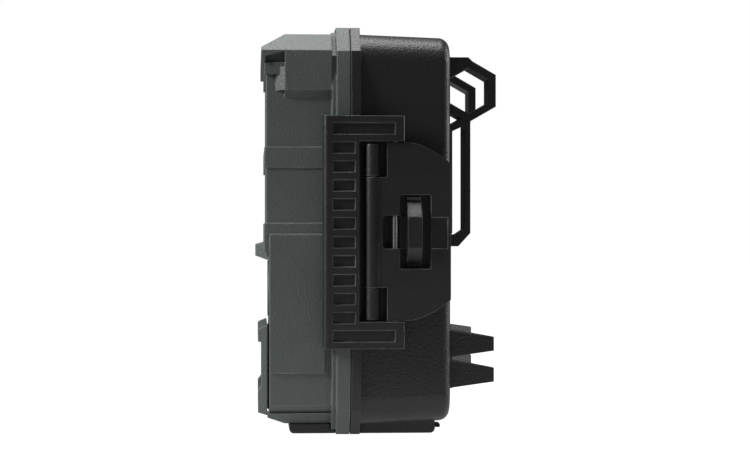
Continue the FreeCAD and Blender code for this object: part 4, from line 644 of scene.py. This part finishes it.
def makeCells():
    # sleeved cells with a bare steel end and a positive cap
    cell = {"radiusMm": 7.2, "longMm": 50.5, "perRow": 4, "pocketMm": 7.25}
    low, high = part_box("battery_cells")
    edge = cell["pocketMm"] * mm
    top = cell["longMm"]
    rings = [(0, 6.3, 1), (0.05, 6.7, 1), (0.4, 7.0, 0), (0.7, cell["radiusMm"], 0),
             (top - 2.6, cell["radiusMm"], 0), (top - 2.2, 7.0, 1), (top - 1.9, 6.6, 1), (top - 1.75, 2.9, 1),
             (top - 1.7, 2.7, 1), (top - 0.2, 2.6, 1), (top, 2.3, 1)]
    forms = [(rings, (x, (low.y + high.y) / 2, z), up)
             for x in spread(low.x + edge, high.x - edge, cell["perRow"])
             for z in (low.z, high.z - top * mm)]
    turnedPiece("sleevedCells", ["battery_cells"], forms, "plated_spring", steps=40)


def makeSprings():
    spring = {"turns": 3.4, "wideMm": 2.9, "narrowMm": 1.9, "wireMm": 0.28, "tallMm": 3.04,
              "seatMm": 3.2, "perRow": 4}
    low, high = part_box("battery_springs")
    shape = bmesh.new()
    stepCount, aroundCount = 80, 8
    tall = spring["tallMm"] * mm
    edge = spring["seatMm"] * mm
    for x in spread(low.x + edge, high.x - edge, spring["perRow"]):
        for base in (low.z, high.z - tall):
            loops = []
            for k in range(stepCount + 1):
                share = k / stepCount
                angle = 2 * math.pi * spring["turns"] * share
                reach = (spring["wideMm"] + (spring["narrowMm"] - spring["wideMm"]) * share) * mm
                out = Vector((math.cos(angle), math.sin(angle), 0))
                wire = spring["wireMm"] * mm
                height = base + wire + (tall - 2 * wire) * share
                centre = Vector((x, (low.y + high.y) / 2, height)) + out * reach
                loops.append([shape.verts.new(
                    centre + (out * math.cos(turn) + Vector(up) * math.sin(turn)) * wire)
                    for turn in (2 * math.pi * n / aroundCount for n in range(aroundCount))])
            for lower, upper in zip(loops, loops[1:]):
                for n in range(aroundCount):
                    shape.faces.new((lower[n], lower[(n + 1) % aroundCount],
                                     upper[(n + 1) % aroundCount], upper[n]))
            shape.faces.new(loops[0])
            shape.faces.new(loops[-1])
    bmesh.ops.recalc_face_normals(shape, faces=shape.faces)
    markSharp(shape, sharpDeg["fine"])
    mesh = bpy.data.meshes.new("coiledSprings")
    shape.to_mesh(mesh)
    shape.free()
    finishPiece(objectFrom("coiledSprings", mesh), ["battery_springs"])


def makeKeys():
    # soft caps with a rolled edge and a shallow dish for the finger
    for nodeName in ("key_menu", "key_ok", "key_up", "key_down", "key_left", "key_right"):
        low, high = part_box(nodeName)
        middle = (low + high) / 2
        long = (high.y - low.y) / mm
        turnedPiece(nodeName + "Dished", [nodeName], [([
            (0, 3.55), (0.55, 3.55), (0.6, 3.0), (long - 0.45, 2.98), (long - 0.2, 2.85),
            (long - 0.04, 2.5), (long, 2.2), (long - 0.1, 1.5), (long - 0.16, 0.8), (long - 0.18, 0.2)],
            (middle.x, low.y, middle.z), rear)])


makeCells()
makeSprings()
makeKeys()
print("batteries and keys ready")


# mesh rounding of each moulded piece; 0 leaves the edges to the material's Bevel node
roundedMm = {
    "pir_bezel": 0, "front_foot": 0.3, "strap_loop_left": 0.3, "strap_loop_right": 0.3,
    "tree_teeth_left": 0.3, "tree_teeth_right": 0.3, "padlock_staple": 0.3, "port_plug": 0.3,
    "switch_slider": 0.3, "sd_card": 0.2, "contact_block": 0.2, "flash_window": 0.3,
    "front_shell": 0, "rear_shell": 0, "latch_frame": 0, "latch_lever": 0, "inner_panel": 0,
    "battery_tray": 0, "seam_gasket": 0,
}
for nodeName, radiusMm in roundedMm.items():
    softenedPiece(nodeName, radiusMm)
print("housing pieces ready:", len(roundedMm))

for nodeName, node in frame["nodes"].items():
    node.data.materials.clear()
    node.data.materials.append(materials[slotOf[nodeName]])
